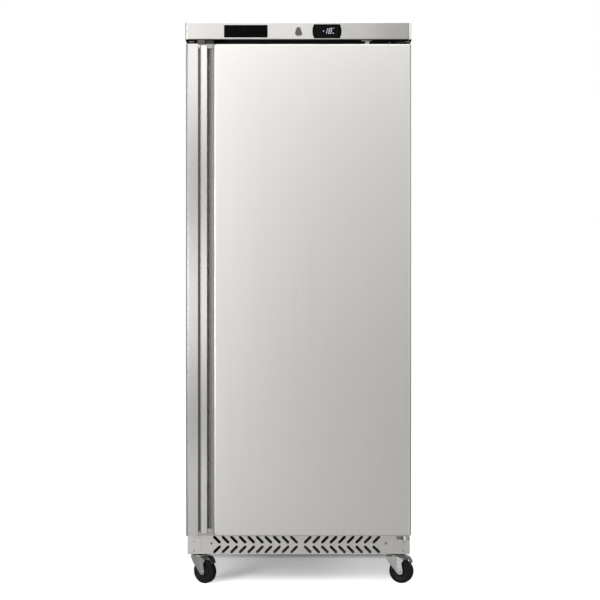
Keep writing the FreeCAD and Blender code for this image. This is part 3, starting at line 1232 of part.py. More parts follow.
def main():
    os.makedirs(OUT, exist_ok=True)

    side = side_panel()
    export("side_panel_right", side)
    export("side_panel_left", mirrored(side))
    export("back_panel", back_panel())
    export("top_panel", top_panel())
    export("top_cover", top_cover())
    export("front_frame", *front_frame())
    export("gap_trim", gap_trim())
    export("inner_liner", inner_liner())
    export("foam_insulation", *foam_insulation())

    export("base_pan", base_pan())
    export("plinth_grille", plinth_grille())
    export("corner_plate_left", corner_plate_left())
    export("hinge_bracket_bottom", hinge_bracket_bottom())
    export("hinge_bracket_top", hinge_bracket_top())

    export("door_skin", door_skin())
    export("door_grip", door_grip())
    export("grip_caps", *grip_caps())
    export("door_foam", *door_foam())
    export("door_liner", door_liner())
    export("door_gasket", *door_gasket())
    export("hinge_bushes", hinge_bush(DOOR_LOW_Z, 1), hinge_bush(DOOR_TOP_Z, -1))

    export("lock_housing", lock_housing())
    export("lock_plug", lock_plug())
    export("lock_cam", lock_cam())
    export("display_panel", display_panel())
    export("controller_body", controller_body())
    export("badge_plate", badge_plate())

    export("evaporator_coil", *evaporator_coil())
    export("shelf_wires", *shelf_wires())
    export("shelf_rails", *shelf_rails())
    export("temperature_probe", probe())

    export("compressor", compressor())
    export("compressor_grommets", *compressor_grommets())
    export("terminal_cover", terminal_cover())
    export("condenser_fins", *condenser_fins())
    export("condenser_coil", *condenser_coil())
    export("fan_shroud", fan_shroud())
    export("fan_motor", fan_motor())
    export("fan_rotor", fan_rotor())
    export("filter_drier", filter_drier())
    export("refrigerant_pipes", *refrigerant_pipes())
    export("drip_tray", drip_tray())
    export("rear_cover", rear_cover())
    export("cable_gland", cable_gland())

    export("castor_plates", *castor_plates())
    export("screws_and_bolts", *front_screws(), *rear_screws(), *castor_bolts())
    for castor, (_, _, _, braked) in CASTORS.items():
        export(f"castor_fork_{castor}", placed(castor_fork(braked), castor))
        export(f"castor_wheel_{castor}", placed(castor_wheel(), castor))
        export(f"castor_axle_{castor}", placed(castor_axle(), castor))
        if braked:
            export(f"castor_pedal_{castor}", placed(castor_pedal(), castor))
    print(len([f for f in os.listdir(OUT) if f.endswith(".step")]), "nodes written")


main()
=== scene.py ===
"""Looks of the upright freezer: camera, studio, finishes and the pieces that only this file makes."""

import json
import math

import bmesh
import bpy
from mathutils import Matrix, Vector


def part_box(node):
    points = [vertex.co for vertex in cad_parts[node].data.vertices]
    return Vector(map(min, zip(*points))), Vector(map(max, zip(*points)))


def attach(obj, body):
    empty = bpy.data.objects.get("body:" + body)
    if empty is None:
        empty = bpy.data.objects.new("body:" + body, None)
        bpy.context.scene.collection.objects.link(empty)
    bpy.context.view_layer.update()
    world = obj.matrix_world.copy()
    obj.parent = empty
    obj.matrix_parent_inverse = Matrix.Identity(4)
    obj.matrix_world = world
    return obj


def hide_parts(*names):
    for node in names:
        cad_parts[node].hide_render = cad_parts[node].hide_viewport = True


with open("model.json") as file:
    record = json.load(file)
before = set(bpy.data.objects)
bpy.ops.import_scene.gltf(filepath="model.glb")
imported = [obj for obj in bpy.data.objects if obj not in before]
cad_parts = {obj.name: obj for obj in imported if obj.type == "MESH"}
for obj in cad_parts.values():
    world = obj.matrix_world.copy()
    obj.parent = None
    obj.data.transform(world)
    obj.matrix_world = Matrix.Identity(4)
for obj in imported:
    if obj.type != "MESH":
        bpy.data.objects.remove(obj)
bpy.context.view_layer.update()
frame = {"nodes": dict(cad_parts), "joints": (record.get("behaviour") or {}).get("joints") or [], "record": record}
nodes = frame["nodes"]
scene = bpy.context.scene
scene.view_settings.view_transform = "Standard"

# Places on the cabinet, in metres
DOOR_FRONT = -0.3475
BACK = 0.3475
FITTING_HEIGHT = 1.9145
DISPLAY = (0.0972, FITTING_HEIGHT)
WINDOW_Y = -0.3499
LIT_Y = -0.35025
LOUVRE_HEIGHT = 0.266

CAMERA_PLACE = (0.005, -4.7475, 0.995)
CAMERA_LENS = 77.16
TURN_STEPS = 64

# Lamps: name, place, point they are turned to, width, height and power
LAMPS = [
    ("upper_left_light", (-1.7, -4.9, 3.2), (0, 0, 1.2), 2.4, 2.4, 22),
    ("upper_front_light", (0.3, -3.2, 3.9), (0, 0, 1.2), 2.4, 1.5, 54),
    ("low_left_light", (-2.0, -3.0, 0.9), (0, 0, 0.7), 1.0, 1.6, 36),
    ("far_left_light", (-3.2, -4.2, 1.6), (0, 0, 1.0), 1.6, 2.6, 180),
    ("top_light", (0.0, 0.3, 4.4), (0, 0, 0), 3.0, 3.0, 75),
]

# Tones of the folded steel along X: place, width of the change, factor left of it, factor right of it.
# They stand for reflections and shade that the lamps and shapes here don't give, and were set by
# comparing the render's brightness with the photograph's. One narrow strip of the grip goes above 1.
GRIP_TONES = [
    (-0.3815, 0.0012, 2.79, 1.0),
    (-0.3785, 0.0010, 0.304, 1.0),
    (-0.3752, 0.0010, 0.92, 1.0),
    (-0.3440, 0.0006, 1.0, 0.48),
    (-0.3376, 0.0004, 1.0, 0.38),
    (-0.3345, 0.0022, 1.0, 6.15),
    (-0.3122, 0.0004, 1.0, 3.30),
    (-0.3095, 0.0080, 1.0, 0.17),
]
DOOR_TONES = [
    (-0.2866, 0.0008, 0.48, 1.0),
    (0.3770, 0.0010, 1.0, 1.45),
    (0.3805, 0.0012, 1.0, 0.50),
]
FASCIA_TONES = [
    (-0.3852, 0.0006, 1.39, 1.0),
    (-0.3788, 0.0010, 0.72, 1.0),
    (-0.3000, 0.2800, 1.0, 1.24),
    (0.0200, 0.1600, 1.0, 0.80),
    (0.1900, 0.1600, 1.0, 0.76),
    (0.3735, 0.0010, 1.0, 0.85),
    (0.3785, 0.0010, 1.0, 3.00),
]
# Painted reflection bands along the grip: their length and the height of one crest
PAINTED_BAND_LENGTH = 0.821
PAINTED_BAND_CREST = 0.995


# ---------------------------------------------------------------- camera and studio

def photo_camera():
    """Level camera at half height, far enough away for the photograph's flat view."""
    data = bpy.data.cameras.new("photo_camera")
    data.sensor_width = 36.0
    data.lens = CAMERA_LENS
    data.clip_end = 60.0
    camera = bpy.data.objects.new("photo_camera", data)
    camera.location = CAMERA_PLACE
    camera.rotation_euler = (math.radians(90), 0, 0)
    scene.collection.objects.link(camera)
    scene.camera = camera


def background_ray(tree):
    """1 for the rays that see the background: from the camera, off metal and through glass."""
    path = tree.nodes.new("ShaderNodeLightPath")
    first = tree.nodes.new("ShaderNodeMath")
    first.operation = "MAXIMUM"
    tree.links.new(path.outputs["Is Camera Ray"], first.inputs[0])
    tree.links.new(path.outputs["Is Glossy Ray"], first.inputs[1])
    both = tree.nodes.new("ShaderNodeMath")
    both.operation = "MAXIMUM"
    tree.links.new(first.outputs[0], both.inputs[0])
    tree.links.new(path.outputs["Is Transmission Ray"], both.inputs[1])
    return both.outputs[0]


def studio_walls(fill):
    """White surroundings; their light on the object is only the soft fill."""
    world = bpy.data.worlds.new("studio_walls")
    world.use_nodes = True
    tree = world.node_tree
    back = tree.nodes["Background"]
    back.inputs["Color"].default_value = (1.0, 1.0, 1.0, 1)
    strength = tree.nodes.new("ShaderNodeMapRange")
    strength.inputs["To Min"].default_value = fill
    strength.inputs["To Max"].default_value = 1.0
    tree.links.new(background_ray(tree), strength.inputs["Value"])
    tree.links.new(strength.outputs["Result"], back.inputs["Strength"])
    scene.world = world


def studio_floor(under, right_under, back_under):
    """Pale floor that keeps the lamps' shadow of the cabinet and turns white a hand's breadth away from it.

    Below the cabinet its glow stays low, a painted shadow there: under is the floor's glow below the cabinet,
    right_under is added towards its right side and back_under is the factor on it below the back of the cabinet.
    Only the camera sees the glow.
    """
    half_width, front_edge, front_slope, back_edge, fade = 0.31, -0.06, 0.7, 0.40, 0.20
    mesh = bpy.data.meshes.new("studio_floor")
    mesh.from_pydata([(-9, -9, 0), (9, -9, 0), (9, 14, 0), (-9, 14, 0)], [], [(0, 1, 2, 3)])
    floor = bpy.data.objects.new("studio_floor", mesh)
    scene.collection.objects.link(floor)
    paper = Finish("floor_paper", (0.86, 0.86, 0.86), roughness=0.9)
    paper.set("Specular IOR Level", 0.0)
    paper.set("Emission Color", (1, 1, 1, 1))
    place = paper.node("ShaderNodeSeparateXYZ")
    paper.link(paper.place, place.inputs[0])
    aside = paper.sum_of(paper.sum_of(place.outputs["X"], 1, 0, "ABSOLUTE"), 1, -half_width)
    ahead = paper.sum_of(place.outputs["Y"], -front_slope, front_slope * front_edge)
    behind = paper.sum_of(place.outputs["Y"], 1, -back_edge)
    off = paper.node("ShaderNodeCombineXYZ")
    paper.link(paper.larger(aside, 0), off.inputs["X"])
    paper.link(paper.larger(paper.larger(ahead, behind), 0), off.inputs["Y"])
    distance = paper.node("ShaderNodeVectorMath", "LENGTH")
    paper.link(off.outputs[0], distance.inputs[0])
    away = paper.eased(distance.outputs["Value"], 0.0, fade, 0.0, 1.0)
    # Painted shadow below the cabinet: a low glow, lighter towards the right and darker towards the back.
    from_the_left = paper.eased(place.outputs["X"], 0.0, 0.30, under, under + right_under)
    to_the_back = paper.eased(place.outputs["Y"], 0.19, 0.26, 1.0, back_under)
    shade = paper.product(from_the_left, to_the_back)
    glow = paper.node("ShaderNodeMix")
    paper.link(away, glow.inputs["Factor"])
    paper.link(shade, glow.inputs["A"])
    glow.inputs["B"].default_value = 1.0
    path = paper.node("ShaderNodeLightPath")
    seen = paper.product(path.outputs["Is Camera Ray"], glow.outputs["Result"])
    paper.link(seen, paper.shader.inputs["Emission Strength"])
    mesh.materials.append(paper.material)


def soft_box(name, place, aim, width, height, power):
    """Large soft lamp turned towards a point."""
    data = bpy.data.lights.new(name, "AREA")
    data.shape = "RECTANGLE"
    data.size = width
    data.size_y = height
    data.energy = power
    lamp = bpy.data.objects.new(name, data)
    lamp.location = place
    lamp.rotation_euler = (Vector(aim) - Vector(place)).to_track_quat("-Z", "Y").to_euler()
    lamp.visible_camera = False
    scene.collection.objects.link(lamp)


# ---------------------------------------------------------------- finishes

class Finish:
    """A material under construction: its node tree, its shader and short ways to add patterns."""

    def __init__(self, name, colour, metallic=0.0, roughness=0.5):
        self.material = bpy.data.materials.new(name)
        self.material.use_nodes = True
        self.tree = self.material.node_tree
        self.shader = self.tree.nodes["Principled BSDF"]
        self.colour = colour
        self.set("Base Color", (*colour, 1))
        self.set("Metallic", metallic)
        self.set("Roughness", roughness)
        self.place = self.tree.nodes.new("ShaderNodeTexCoord").outputs["Object"]
        self.normal = None

    def node(self, kind, operation=None):
        node = self.tree.nodes.new(kind)
        if operation:
            node.operation = operation
        return node

    def set(self, socket, value):
        self.shader.inputs[socket].default_value = value

    def link(self, source, target):
        self.tree.links.new(source, target)

    def stretched(self, scale):
        """The place on the object, scaled along each axis."""
        mapping = self.tree.nodes.new("ShaderNodeMapping")
        mapping.inputs["Scale"].default_value = scale
        self.link(self.place, mapping.inputs["Vector"])
        return mapping.outputs["Vector"]

    def noise(self, scale, detail=3.0, roughness=0.5):
        """Noise whose grain follows the scale along each axis."""
        noise = self.tree.nodes.new("ShaderNodeTexNoise")
        noise.inputs["Scale"].default_value = 1.0
        noise.inputs["Detail"].default_value = detail
        noise.inputs["Roughness"].default_value = roughness
        self.link(self.stretched(scale), noise.inputs["Vector"])
        return noise.outputs["Fac"]

    def cells(self, scale):
        """A random value for each crystal of a metal coating."""
        cells = self.tree.nodes.new("ShaderNodeTexVoronoi")
        cells.inputs["Scale"].default_value = 1.0
        self.link(self.stretched(scale), cells.inputs["Vector"])
        return cells.outputs["Color"]

    def sum_of(self, source, factor, offset, operation="MULTIPLY_ADD"):
        """A value times a factor plus an offset, or its size alone."""
        node = self.node("ShaderNodeMath", operation)
        self.link(source, node.inputs[0])
        node.inputs[1].default_value = factor
        node.inputs[2].default_value = offset
        return node.outputs[0]

    def product(self, source, other):
        """Two values multiplied."""
        node = self.node("ShaderNodeMath", "MULTIPLY")
        self.link(source, node.inputs[0])
        self.link(other, node.inputs[1])
        return node.outputs[0]

    def larger(self, source, other):
        """The larger of a value and another value or number."""
        node = self.node("ShaderNodeMath", "MAXIMUM")
        self.link(source, node.inputs[0])
        if isinstance(other, (int, float)):
            node.inputs[1].default_value = other
        else:
            self.link(other, node.inputs[1])
        return node.outputs[0]

    def eased(self, source, start, end, low, high):
        """A smooth step from low to high while a value goes from start to end."""
        node = self.node("ShaderNodeMapRange")
        node.interpolation_type = "SMOOTHSTEP"
        for socket, value in (("From Min", start), ("From Max", end), ("To Min", low), ("To Max", high)):
            node.inputs[socket].default_value = value
        self.link(source, node.inputs["Value"])
        return node.outputs["Result"]

    def banded(self, tone, painted_light_steps):
        """Painted light and shade: a tone that changes along X at each step: (place, width, tone left of it, tone
        right of it).
        """
        place = self.node("ShaderNodeSeparateXYZ")
        self.link(self.place, place.inputs[0])
        for start, width, left, right in painted_light_steps:
            tone = self.product(tone, self.eased(place.outputs["X"], start, start + width, left, right))
        return tone

    def tinted(self, tone):
        """Base colour times a tone."""
        tint = self.node("ShaderNodeVectorMath", "SCALE")
        tint.inputs[0].default_value = self.colour
        self.link(tone, tint.inputs["Scale"])
        self.link(tint.outputs[0], self.shader.inputs["Base Color"])

    def ranged(self, source, low, high, wide=0.25):
        """A pattern's values around a half, spread to run from low to high."""
        node = self.tree.nodes.new("ShaderNodeMapRange")
        node.inputs["From Min"].default_value = 0.5 - wide
        node.inputs["From Max"].default_value = 0.5 + wide
        node.inputs["To Min"].default_value = low
        node.inputs["To Max"].default_value = high
        self.link(source, node.inputs["Value"])
        return node.outputs["Result"]

    def shade(self, source, low, high, wide=0.25):
        """Base colour times a value between low and high, after a pattern."""
        self.tinted(self.ranged(source, low, high, wide))

    def gloss(self, source, low, high, wide=0.25):
        """Roughness between low and high, after a pattern."""
        self.link(self.ranged(source, low, high, wide), self.shader.inputs["Roughness"])

    def relief(self, source, depth, strength=1.0):
        """Surface height after a pattern, in metres; several reliefs add up."""
        bump = self.tree.nodes.new("ShaderNodeBump")
        bump.inputs["Distance"].default_value = depth
        bump.inputs["Strength"].default_value = strength
        self.link(source, bump.inputs["Height"])
        if self.normal:
            self.link(self.normal, bump.inputs["Normal"])
        self.normal = bump.outputs["Normal"]
        self.link(self.normal, self.shader.inputs["Normal"])


STEEL = (0.468, 0.458, 0.441)


def brushed_stainless(name, grain, roughness, darker=1.0, strength=1.0, painted_light_steps=()):
    """Stainless sheet; grain gives how fine the brushing is along each axis, strength how deep it is.

    Each painted step of light and shade is a place along X, the width over which the tone changes there, and the
    tone left and right.
    """
    steel = Finish(name, [c * darker for c in STEEL], metallic=1.0, roughness=roughness)
    brushing = steel.noise(grain, detail=4.0, roughness=0.6)
    steel.tinted(steel.banded(steel.ranged(brushing, 1 - 0.025 * strength, 1 + 0.025 * strength), painted_light_steps))
    steel.gloss(steel.noise([g * 0.31 for g in grain], detail=2.0), roughness - 0.02, roughness + 0.02)
    steel.relief(brushing, 0.00002, 0.5 * strength)
    steel.relief(steel.noise((3.1, 3.1, 2.3), detail=1.0), 0.0005, 0.25 * strength)
    return steel.material


def grip_stainless(name, grain, roughness):
    """Stainless of the folded grip, darker overall than the door's steel, with painted light and shade along X:
    a dark line at its left edge, shade in the groove, a bright lip, a bright strip deep in the finger space and
    shade on its slope.

    Slow bands in its tone are painted reflections along its height. The shape itself is straight.
    """
    steel = Finish(name, STEEL, metallic=1.0, roughness=roughness)
    brushing = steel.noise(grain, detail=4.0, roughness=0.6)
    tone = steel.banded(steel.ranged(brushing, 0.975, 1.025), GRIP_TONES)
    place = steel.node("ShaderNodeSeparateXYZ")
    steel.link(steel.place, place.inputs[0])
    # Painted reflections: slow bands along the height on the front faces, weaker near the bottom, around a tone of
    # 0.74.
    curve = steel.node("ShaderNodeMath", "COSINE")
    turns = 2 * math.pi / PAINTED_BAND_LENGTH
    steel.link(steel.sum_of(place.outputs["Z"], turns, -turns * PAINTED_BAND_CREST), curve.inputs[0])
    swing = steel.product(curve.outputs[0], steel.eased(place.outputs["Y"], -0.3470, -0.3455, 1.0, 0.0))
    swing = steel.product(swing, steel.eased(place.outputs["Z"], 0.28, 0.60, 0.1, 1.0))
    steel.tinted(steel.product(tone, steel.sum_of(swing, 0.15, 0.74)))
    steel.gloss(steel.noise([g * 0.31 for g in grain], detail=2.0), roughness - 0.02, roughness + 0.02)
    steel.relief(brushing, 0.00002, 0.5)
    return steel.material


def galvanised_sheet():
    zinc = Finish("galvanised_sheet", (0.52, 0.53, 0.54), metallic=0.9, roughness=0.42)
    spangle = zinc.cells((90, 90, 90))
    zinc.shade(spangle, 0.86, 1.08, wide=0.5)
    zinc.gloss(spangle, 0.36, 0.50, wide=0.5)
    zinc.relief(zinc.noise((240, 240, 240)), 0.00004, 0.4)
    return zinc.material


def moulded_plastic(name, colour, roughness, texture=600.0, depth=0.00003, shine=0.5):
    """Plain moulded plastic with a fine moulded skin."""
    plastic = Finish(name, colour, roughness=roughness)
    plastic.set("IOR", 1.48)
    plastic.set("Specular IOR Level", shine)
    plastic.shade(plastic.noise((7, 7, 7), detail=2.0), 0.97, 1.03)
    plastic.gloss(plastic.noise((60, 60, 60)), roughness - 0.04, roughness + 0.04)
    plastic.relief(plastic.noise((texture,) * 3, detail=2.0), depth, 0.5)
    return plastic.material


def grip_cap_plastic():
    """Grey plastic of the grip's end caps; the upper cap is paler, as in the photograph."""
    plastic = Finish("cap_grey", (0.215, 0.208, 0.195), roughness=0.5)
    plastic.set("IOR", 1.48)
    place = plastic.node("ShaderNodeSeparateXYZ")
    plastic.link(plastic.place, place.inputs[0])
    # The caps turn paler towards the top, most on the groove side.
    towards_top = plastic.eased(place.outputs["Z"], 0.9, 1.5, 0.0, 1.0)
    outer = plastic.eased(place.outputs["X"], -0.3345, -0.3330, 1.9, 1.12)
    tone = plastic.node("ShaderNodeMix")
    plastic.link(towards_top, tone.inputs["Factor"])
    tone.inputs["A"].default_value = 1.0
    plastic.link(outer, tone.inputs["B"])
    mottled = plastic.product(tone.outputs["Result"], plastic.ranged(plastic.noise((7, 7, 7)), 0.97, 1.03))
    plastic.tinted(mottled)
    plastic.gloss(plastic.noise((60, 60, 60)), 0.46, 0.54)
    plastic.relief(plastic.noise((600, 600, 600), detail=2.0), 0.00003, 0.5)
    return plastic.material


def soft_vinyl():
    vinyl = Finish("soft_vinyl", (0.42, 0.42, 0.415), roughness=0.55)
    vinyl.set("Subsurface Weight", 0.05)
    vinyl.shade(vinyl.noise((18, 18, 18)), 0.96, 1.03)
    vinyl.relief(vinyl.noise((900, 900, 900)), 0.00003, 0.4)
    return vinyl.material


def rigid_foam():
    foam = Finish("rigid_foam", (0.80, 0.70, 0.44), roughness=0.9)
    foam.shade(foam.noise((40, 40, 40)), 0.85, 1.1)
    foam.relief(foam.noise((700, 700, 700), detail=1.0), 0.0006, 0.7)
    return foam.material


def gloss_black():
    gloss = Finish("gloss_black", (0.0012, 0.0012, 0.0014), roughness=0.12)
    gloss.set("Specular IOR Level", 0.035)
    gloss.gloss(gloss.noise((35, 35, 35)), 0.10, 0.17)
    gloss.relief(gloss.noise((14, 14, 14)), 0.00006, 0.2)
    return gloss.material


def display_window():
    """Smoked window of the display, a little lighter than its frame."""
    window = Finish("display_window", (0.0030, 0.0032, 0.0028), roughness=0.22)
    window.set("Specular IOR Level", 0.04)
    window.gloss(window.noise((60, 60, 60)), 0.18, 0.28)
    window.relief(window.noise((22, 22, 22)), 0.00003, 0.2)
    return window.material


def lit_segments():
    """Pale violet light of the digits, a little uneven along each bar."""
    light = Finish("lit_segments", (0.30, 0.29, 0.36), roughness=0.4)
    light.set("Emission Color", (0.70, 0.68, 0.94, 1))
    strength = light.ranged(light.noise((220, 220, 220)), 1.35, 1.75)
    light.link(strength, light.shader.inputs["Emission Strength"])
    return light.material


def shaded_chrome():
    """Chrome of the lock's dish and core, darkened as a painted reflection of their recess."""
    darkened = Finish("shaded_chrome", (0.078, 0.074, 0.069), metallic=1.0, roughness=0.34)
    darkened.shade(darkened.noise((260, 260, 260)), 0.8, 1.2)
    darkened.gloss(darkened.noise((500, 500, 500)), 0.26, 0.42)
    darkened.relief(darkened.noise((800, 800, 800)), 0.00001, 0.3)
    return darkened.material


def polished_chrome():
    chrome = Finish("polished_chrome", (0.62, 0.62, 0.63), metallic=1.0, roughness=0.16)
    chrome.gloss(chrome.noise((400, 400, 400)), 0.12, 0.24)
    chrome.relief(chrome.noise((900, 900, 900)), 0.00001, 0.3)
    return chrome.material


def zinc_plate(name, colour):
    zinc = Finish(name, colour, metallic=1.0, roughness=0.34)
    zinc.shade(zinc.noise((55, 55, 55), detail=4.0), 0.86, 1.08)
    zinc.gloss(zinc.noise((160, 160, 160)), 0.27, 0.42)
    zinc.relief(zinc.noise((420, 420, 420)), 0.00003, 0.4)
    return zinc.material


def black_enamel():
    enamel = Finish("black_enamel", (0.012, 0.012, 0.013), roughness=0.38)
    enamel.set("Specular IOR Level", 0.25)
    enamel.shade(enamel.noise((30, 30, 30)), 0.8, 1.3)
    enamel.gloss(enamel.noise((90, 90, 90)), 0.30, 0.48)
    enamel.relief(enamel.noise((500, 500, 500)), 0.00005, 0.4)
    return enamel.material


def wheel_rubber():
    rubber = Finish("wheel_rubber", (0.0060, 0.0060, 0.0056), roughness=0.5)
    rubber.set("Specular IOR Level", 0.06)
    rubber.shade(rubber.noise((45, 45, 45)), 0.8, 1.35)
    rubber.gloss(rubber.noise((120, 120, 120)), 0.40, 0.62)
    rubber.relief(rubber.noise((700, 700, 700)), 0.00006, 0.5)
    return rubber.material


def copper_tube():
    copper = Finish("copper_tube", (0.66, 0.30, 0.17), metallic=1.0, roughness=0.3)
    copper.shade(copper.noise((35, 35, 35), detail=4.0), 0.62, 1.1)
    copper.gloss(copper.noise((80, 80, 80)), 0.22, 0.45)
    return copper.material


def fin_aluminium():
    fins = Finish("fin_aluminium", (0.62, 0.63, 0.64), metallic=1.0, roughness=0.35)
    fins.shade(fins.noise((50, 50, 50)), 0.85, 1.08)
    fins.relief(fins.noise((300, 300, 40)), 0.00008, 0.4)
    return fins.material


def coated_wire():
    coat = Finish("coated_wire", (0.50, 0.505, 0.51), roughness=0.35)
    coat.shade(coat.noise((25, 25, 25)), 0.95, 1.04)
    coat.relief(coat.noise((500, 500, 500)), 0.00008, 0.4)
    return coat.material


upright_grain = (1500, 1500, 9)
level_grain = (9, 1500, 1500)
steel_upright = brushed_stainless("brushed_stainless_upright", upright_grain, 0.36)
steel_door = brushed_stainless("brushed_stainless_door", upright_grain, 0.36, painted_light_steps=DOOR_TONES)
# The side panels take the same stainless at half its colour and a little rougher, as painted shade.
steel_side_shaded = brushed_stainless("brushed_stainless_side_shaded", upright_grain, 0.46, 0.50)
steel_level = brushed_stainless("brushed_stainless_level", level_grain, 0.24, 0.89, strength=0.12,
                                painted_light_steps=FASCIA_TONES)
steel_plinth = brushed_stainless("brushed_stainless_plinth", level_grain, 0.30, 1.03, strength=0.5)
galvanised = galvanised_sheet()
white_plastic = moulded_plastic("white_plastic", (0.52, 0.52, 0.51), 0.32, shine=0.3)
grey_plastic = moulded_plastic("grey_plastic", (0.46, 0.45, 0.43), 0.45)
# Darker copy of the grip plug's plastic, used as painted shade.
plug_shaded_plastic = moulded_plastic("plug_shaded_plastic", (0.016, 0.015, 0.013), 0.5, shine=0.2)
black_plastic = moulded_plastic("black_plastic", (0.006, 0.006, 0.006), 0.55, shine=0.15)
display_black = gloss_black()
chrome = polished_chrome()
zinc = zinc_plate("zinc_plate", (0.30, 0.30, 0.29))
pedal_zinc = zinc_plate("pedal_zinc", (0.075, 0.075, 0.070))
enamel = black_enamel()
rubber = wheel_rubber()
copper = copper_tube()
aluminium = fin_aluminium()
coated = coated_wire()
vinyl = soft_vinyl()
foam = rigid_foam()
steel_grip = grip_stainless("brushed_stainless_grip", upright_grain, 0.36)
grip_plug_grey = moulded_plastic("grip_plug_grey", (0.055, 0.051, 0.045), 0.5, shine=0.25)
cap_grey = grip_cap_plastic()
hub_plastic = moulded_plastic("hub_plastic", (0.008, 0.008, 0.008), 0.42, shine=0.06)
window_black = display_window()
lit_digits = lit_segments()
lock_shaded_chrome = shaded_chrome()
steel_lock = brushed_stainless("brushed_stainless_lock", level_grain, 0.36, 0.80, strength=0.3)
catch_steel = brushed_stainless("catch_steel", level_grain, 0.13, 1.75, strength=0.2)

finish_of_slot = {
    "stainless": steel_upright,
    "galvanised": galvanised,
    "white_plastic": white_plastic,
    "grey_plastic": grey_plastic,
    "gasket_rubber": vinyl,
    "foam": foam,
    "black_gloss": display_black,
    "black_plastic": black_plastic,
    "lock_chrome": chrome,
    "zinc_plated": zinc,
    "black_steel": enamel,
    "wheel_rubber": rubber,
    "copper": copper,
    "fin_aluminium": aluminium,
    "coated_steel": coated,
    "foot_rubber": rubber,
}
finish_of_node = {
    "top_cover": steel_level,
    "door_skin": steel_door,
    "side_panel_left": steel_side_shaded,
    "side_panel_right": steel_side_shaded,
    "plinth_grille": steel_plinth,
    "corner_plate_left": steel_plinth,
    "hinge_bracket_bottom": steel_plinth,
    "door_grip": steel_grip,
    "grip_caps": cap_grey,
    "castor_pedal_front_left": pedal_zinc,
    "castor_pedal_front_right": pedal_zinc,
}


def finish_frame():
    """Gives every carried-over part the finish of its slot."""
    for part in frame["record"]["subparts"]:
        name = part["node"]
        mat = finish_of_node.get(name) or finish_of_slot[part["material_slot"]]
        nodes[name].data.materials.clear()
        nodes[name].data.materials.append(mat)


# ---------------------------------------------------------------- building pieces

class Form:
    """Points and faces of a piece while it is put together; every ring in a skin has as many points."""

    def __init__(self):
        self.points = []
        self.faces = []
        self.finish_of_face = []

    def face(self, corners, finish=0):
        self.faces.append(tuple(corners))
        self.finish_of_face.append(finish)

    def skin(self, rings, closed=False, finish=0, open_end=False):
        """Faces between neighbouring rings; the first and last are capped, or joined when closed."""
        first = len(self.points)
        count = len(rings[0])
        for ring in rings:
            self.points.extend(ring)
        for k in range(len(rings) if closed else len(rings) - 1):
            here = first + k * count
            there = first + (k + 1) % len(rings) * count
            for i in range(count):
                j = (i + 1) % count
                self.face((here + i, here + j, there + j, there + i), finish)
        if not closed:
            self.face(range(first, first + count), finish)
        if not closed and not open_end:
            self.face(range(first + (len(rings) - 1) * count, first + len(rings) * count), finish)

    def prism(self, outline, y0, y1, finish=0):
        """Plate between two depths, from its (x, z) outline."""
        self.skin([[(x, y, z) for x, z in outline] for y in (y0, y1)], finish=finish)

    def piece(self, name, body, finishes, sharp=35, bevel=0.0):
        """The finished object, turned outwards, bevelled, hung on its body."""
        mesh = bpy.data.meshes.new(name)
        mesh.from_pydata(self.points, [], self.faces)
        for number, polygon in zip(self.finish_of_face, mesh.polygons):
            polygon.material_index = number
        for finish in finishes:
            mesh.materials.append(finish)
        shape = bmesh.new()
        shape.from_mesh(mesh)
        bmesh.ops.remove_doubles(shape, verts=shape.verts, dist=1e-6)
        bmesh.ops.recalc_face_normals(shape, faces=shape.faces)
        shape.to_mesh(mesh)
        shape.free()
        mesh.shade_smooth()
        mesh.set_sharp_from_angle(angle=math.radians(sharp))
        made = bpy.data.objects.new(name, mesh)
        scene.collection.objects.link(made)
        if bevel:
            rounding = made.modifiers.new("rounded_edges", "BEVEL")
            rounding.width = bevel
            rounding.segments = 2
            rounding.limit_method = "ANGLE"
            rounding.angle_limit = math.radians(40)
        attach(made, body)
        return made


def turned(profile, centre, axis, steps=TURN_STEPS):
    """Rings round an axis through centre; each profile point is (along the axis, radius)."""
    axis = Vector(axis).normalized()
    side = axis.cross(Vector((0, 0, 1))).normalized()
    other = axis.cross(side)
    rings = []
    for along, radius in profile:
        middle = Vector(centre) + axis * along
        rings.append([tuple(middle + (side * math.cos(a) + other * math.sin(a)) * radius)
                      for a in [2 * math.pi * k / steps for k in range(steps)]])
    return rings


def bowed(half_w, half_h, corner_x, steps=18):
    """Outline with a flat top and bottom and bowed ends, round the origin."""
    curve = half_w - corner_x
    radius = (half_h ** 2 + curve ** 2) / (2 * curve)
    reach = math.asin(half_h / radius)
    right = []
    for k in range(steps + 1):
        turn = reach * (2 * k / steps - 1)
        right.append((half_w - radius + radius * math.cos(turn), radius * math.sin(turn)))
    return right + [(-x, -z) for x, z in right]


# ---------------------------------------------------------------- display

SLANT = 0.20


def display_front():
    """Glossy display front: bowed frame round a sunken window.

    Each ring of the frame has a half width, a half height and the place where its bow starts.
    """
    x0, z0 = DISPLAY
    frame_ring = [(0.0500, 0.0238, 0.0440), (0.0500, 0.0238, 0.0440), (0.0497, 0.0235, 0.0437),
                  (0.0488, 0.0226, 0.0430), (0.0400, 0.0194, 0.0366), (0.0392, 0.0188, 0.0360)]
    depths = [-0.3475, -0.3497, -0.3506, -0.3510, -0.3510, WINDOW_Y]
    form = Form()
    rings = [[(x0 + x, y, z0 + z) for x, z in bowed(*size)] for size, y in zip(frame_ring, depths)]
    form.skin(rings, open_end=True)
    last = len(form.points) - len(rings[-1])
    form.face(range(last, len(form.points)), finish=1)
    made = form.piece("display_front", "cabinet", [display_black, window_black])
    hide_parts("display_panel")


def stroke(form, start, end, half, slant=SLANT):
    """One lit bar with pointed ends, leaning to the right."""
    a, b = Vector(start), Vector(end)
    along = (b - a).normalized() * half
    across = Vector((-along.y, along.x))
    flat = [a, a + along + across, b - along + across, b, b - along - across, a + along - across]
    outline = [(DISPLAY[0] + p.x + slant * p.y, DISPLAY[1] + p.y) for p in flat]
    form.prism(outline, WINDOW_Y + 0.0002, LIT_Y)


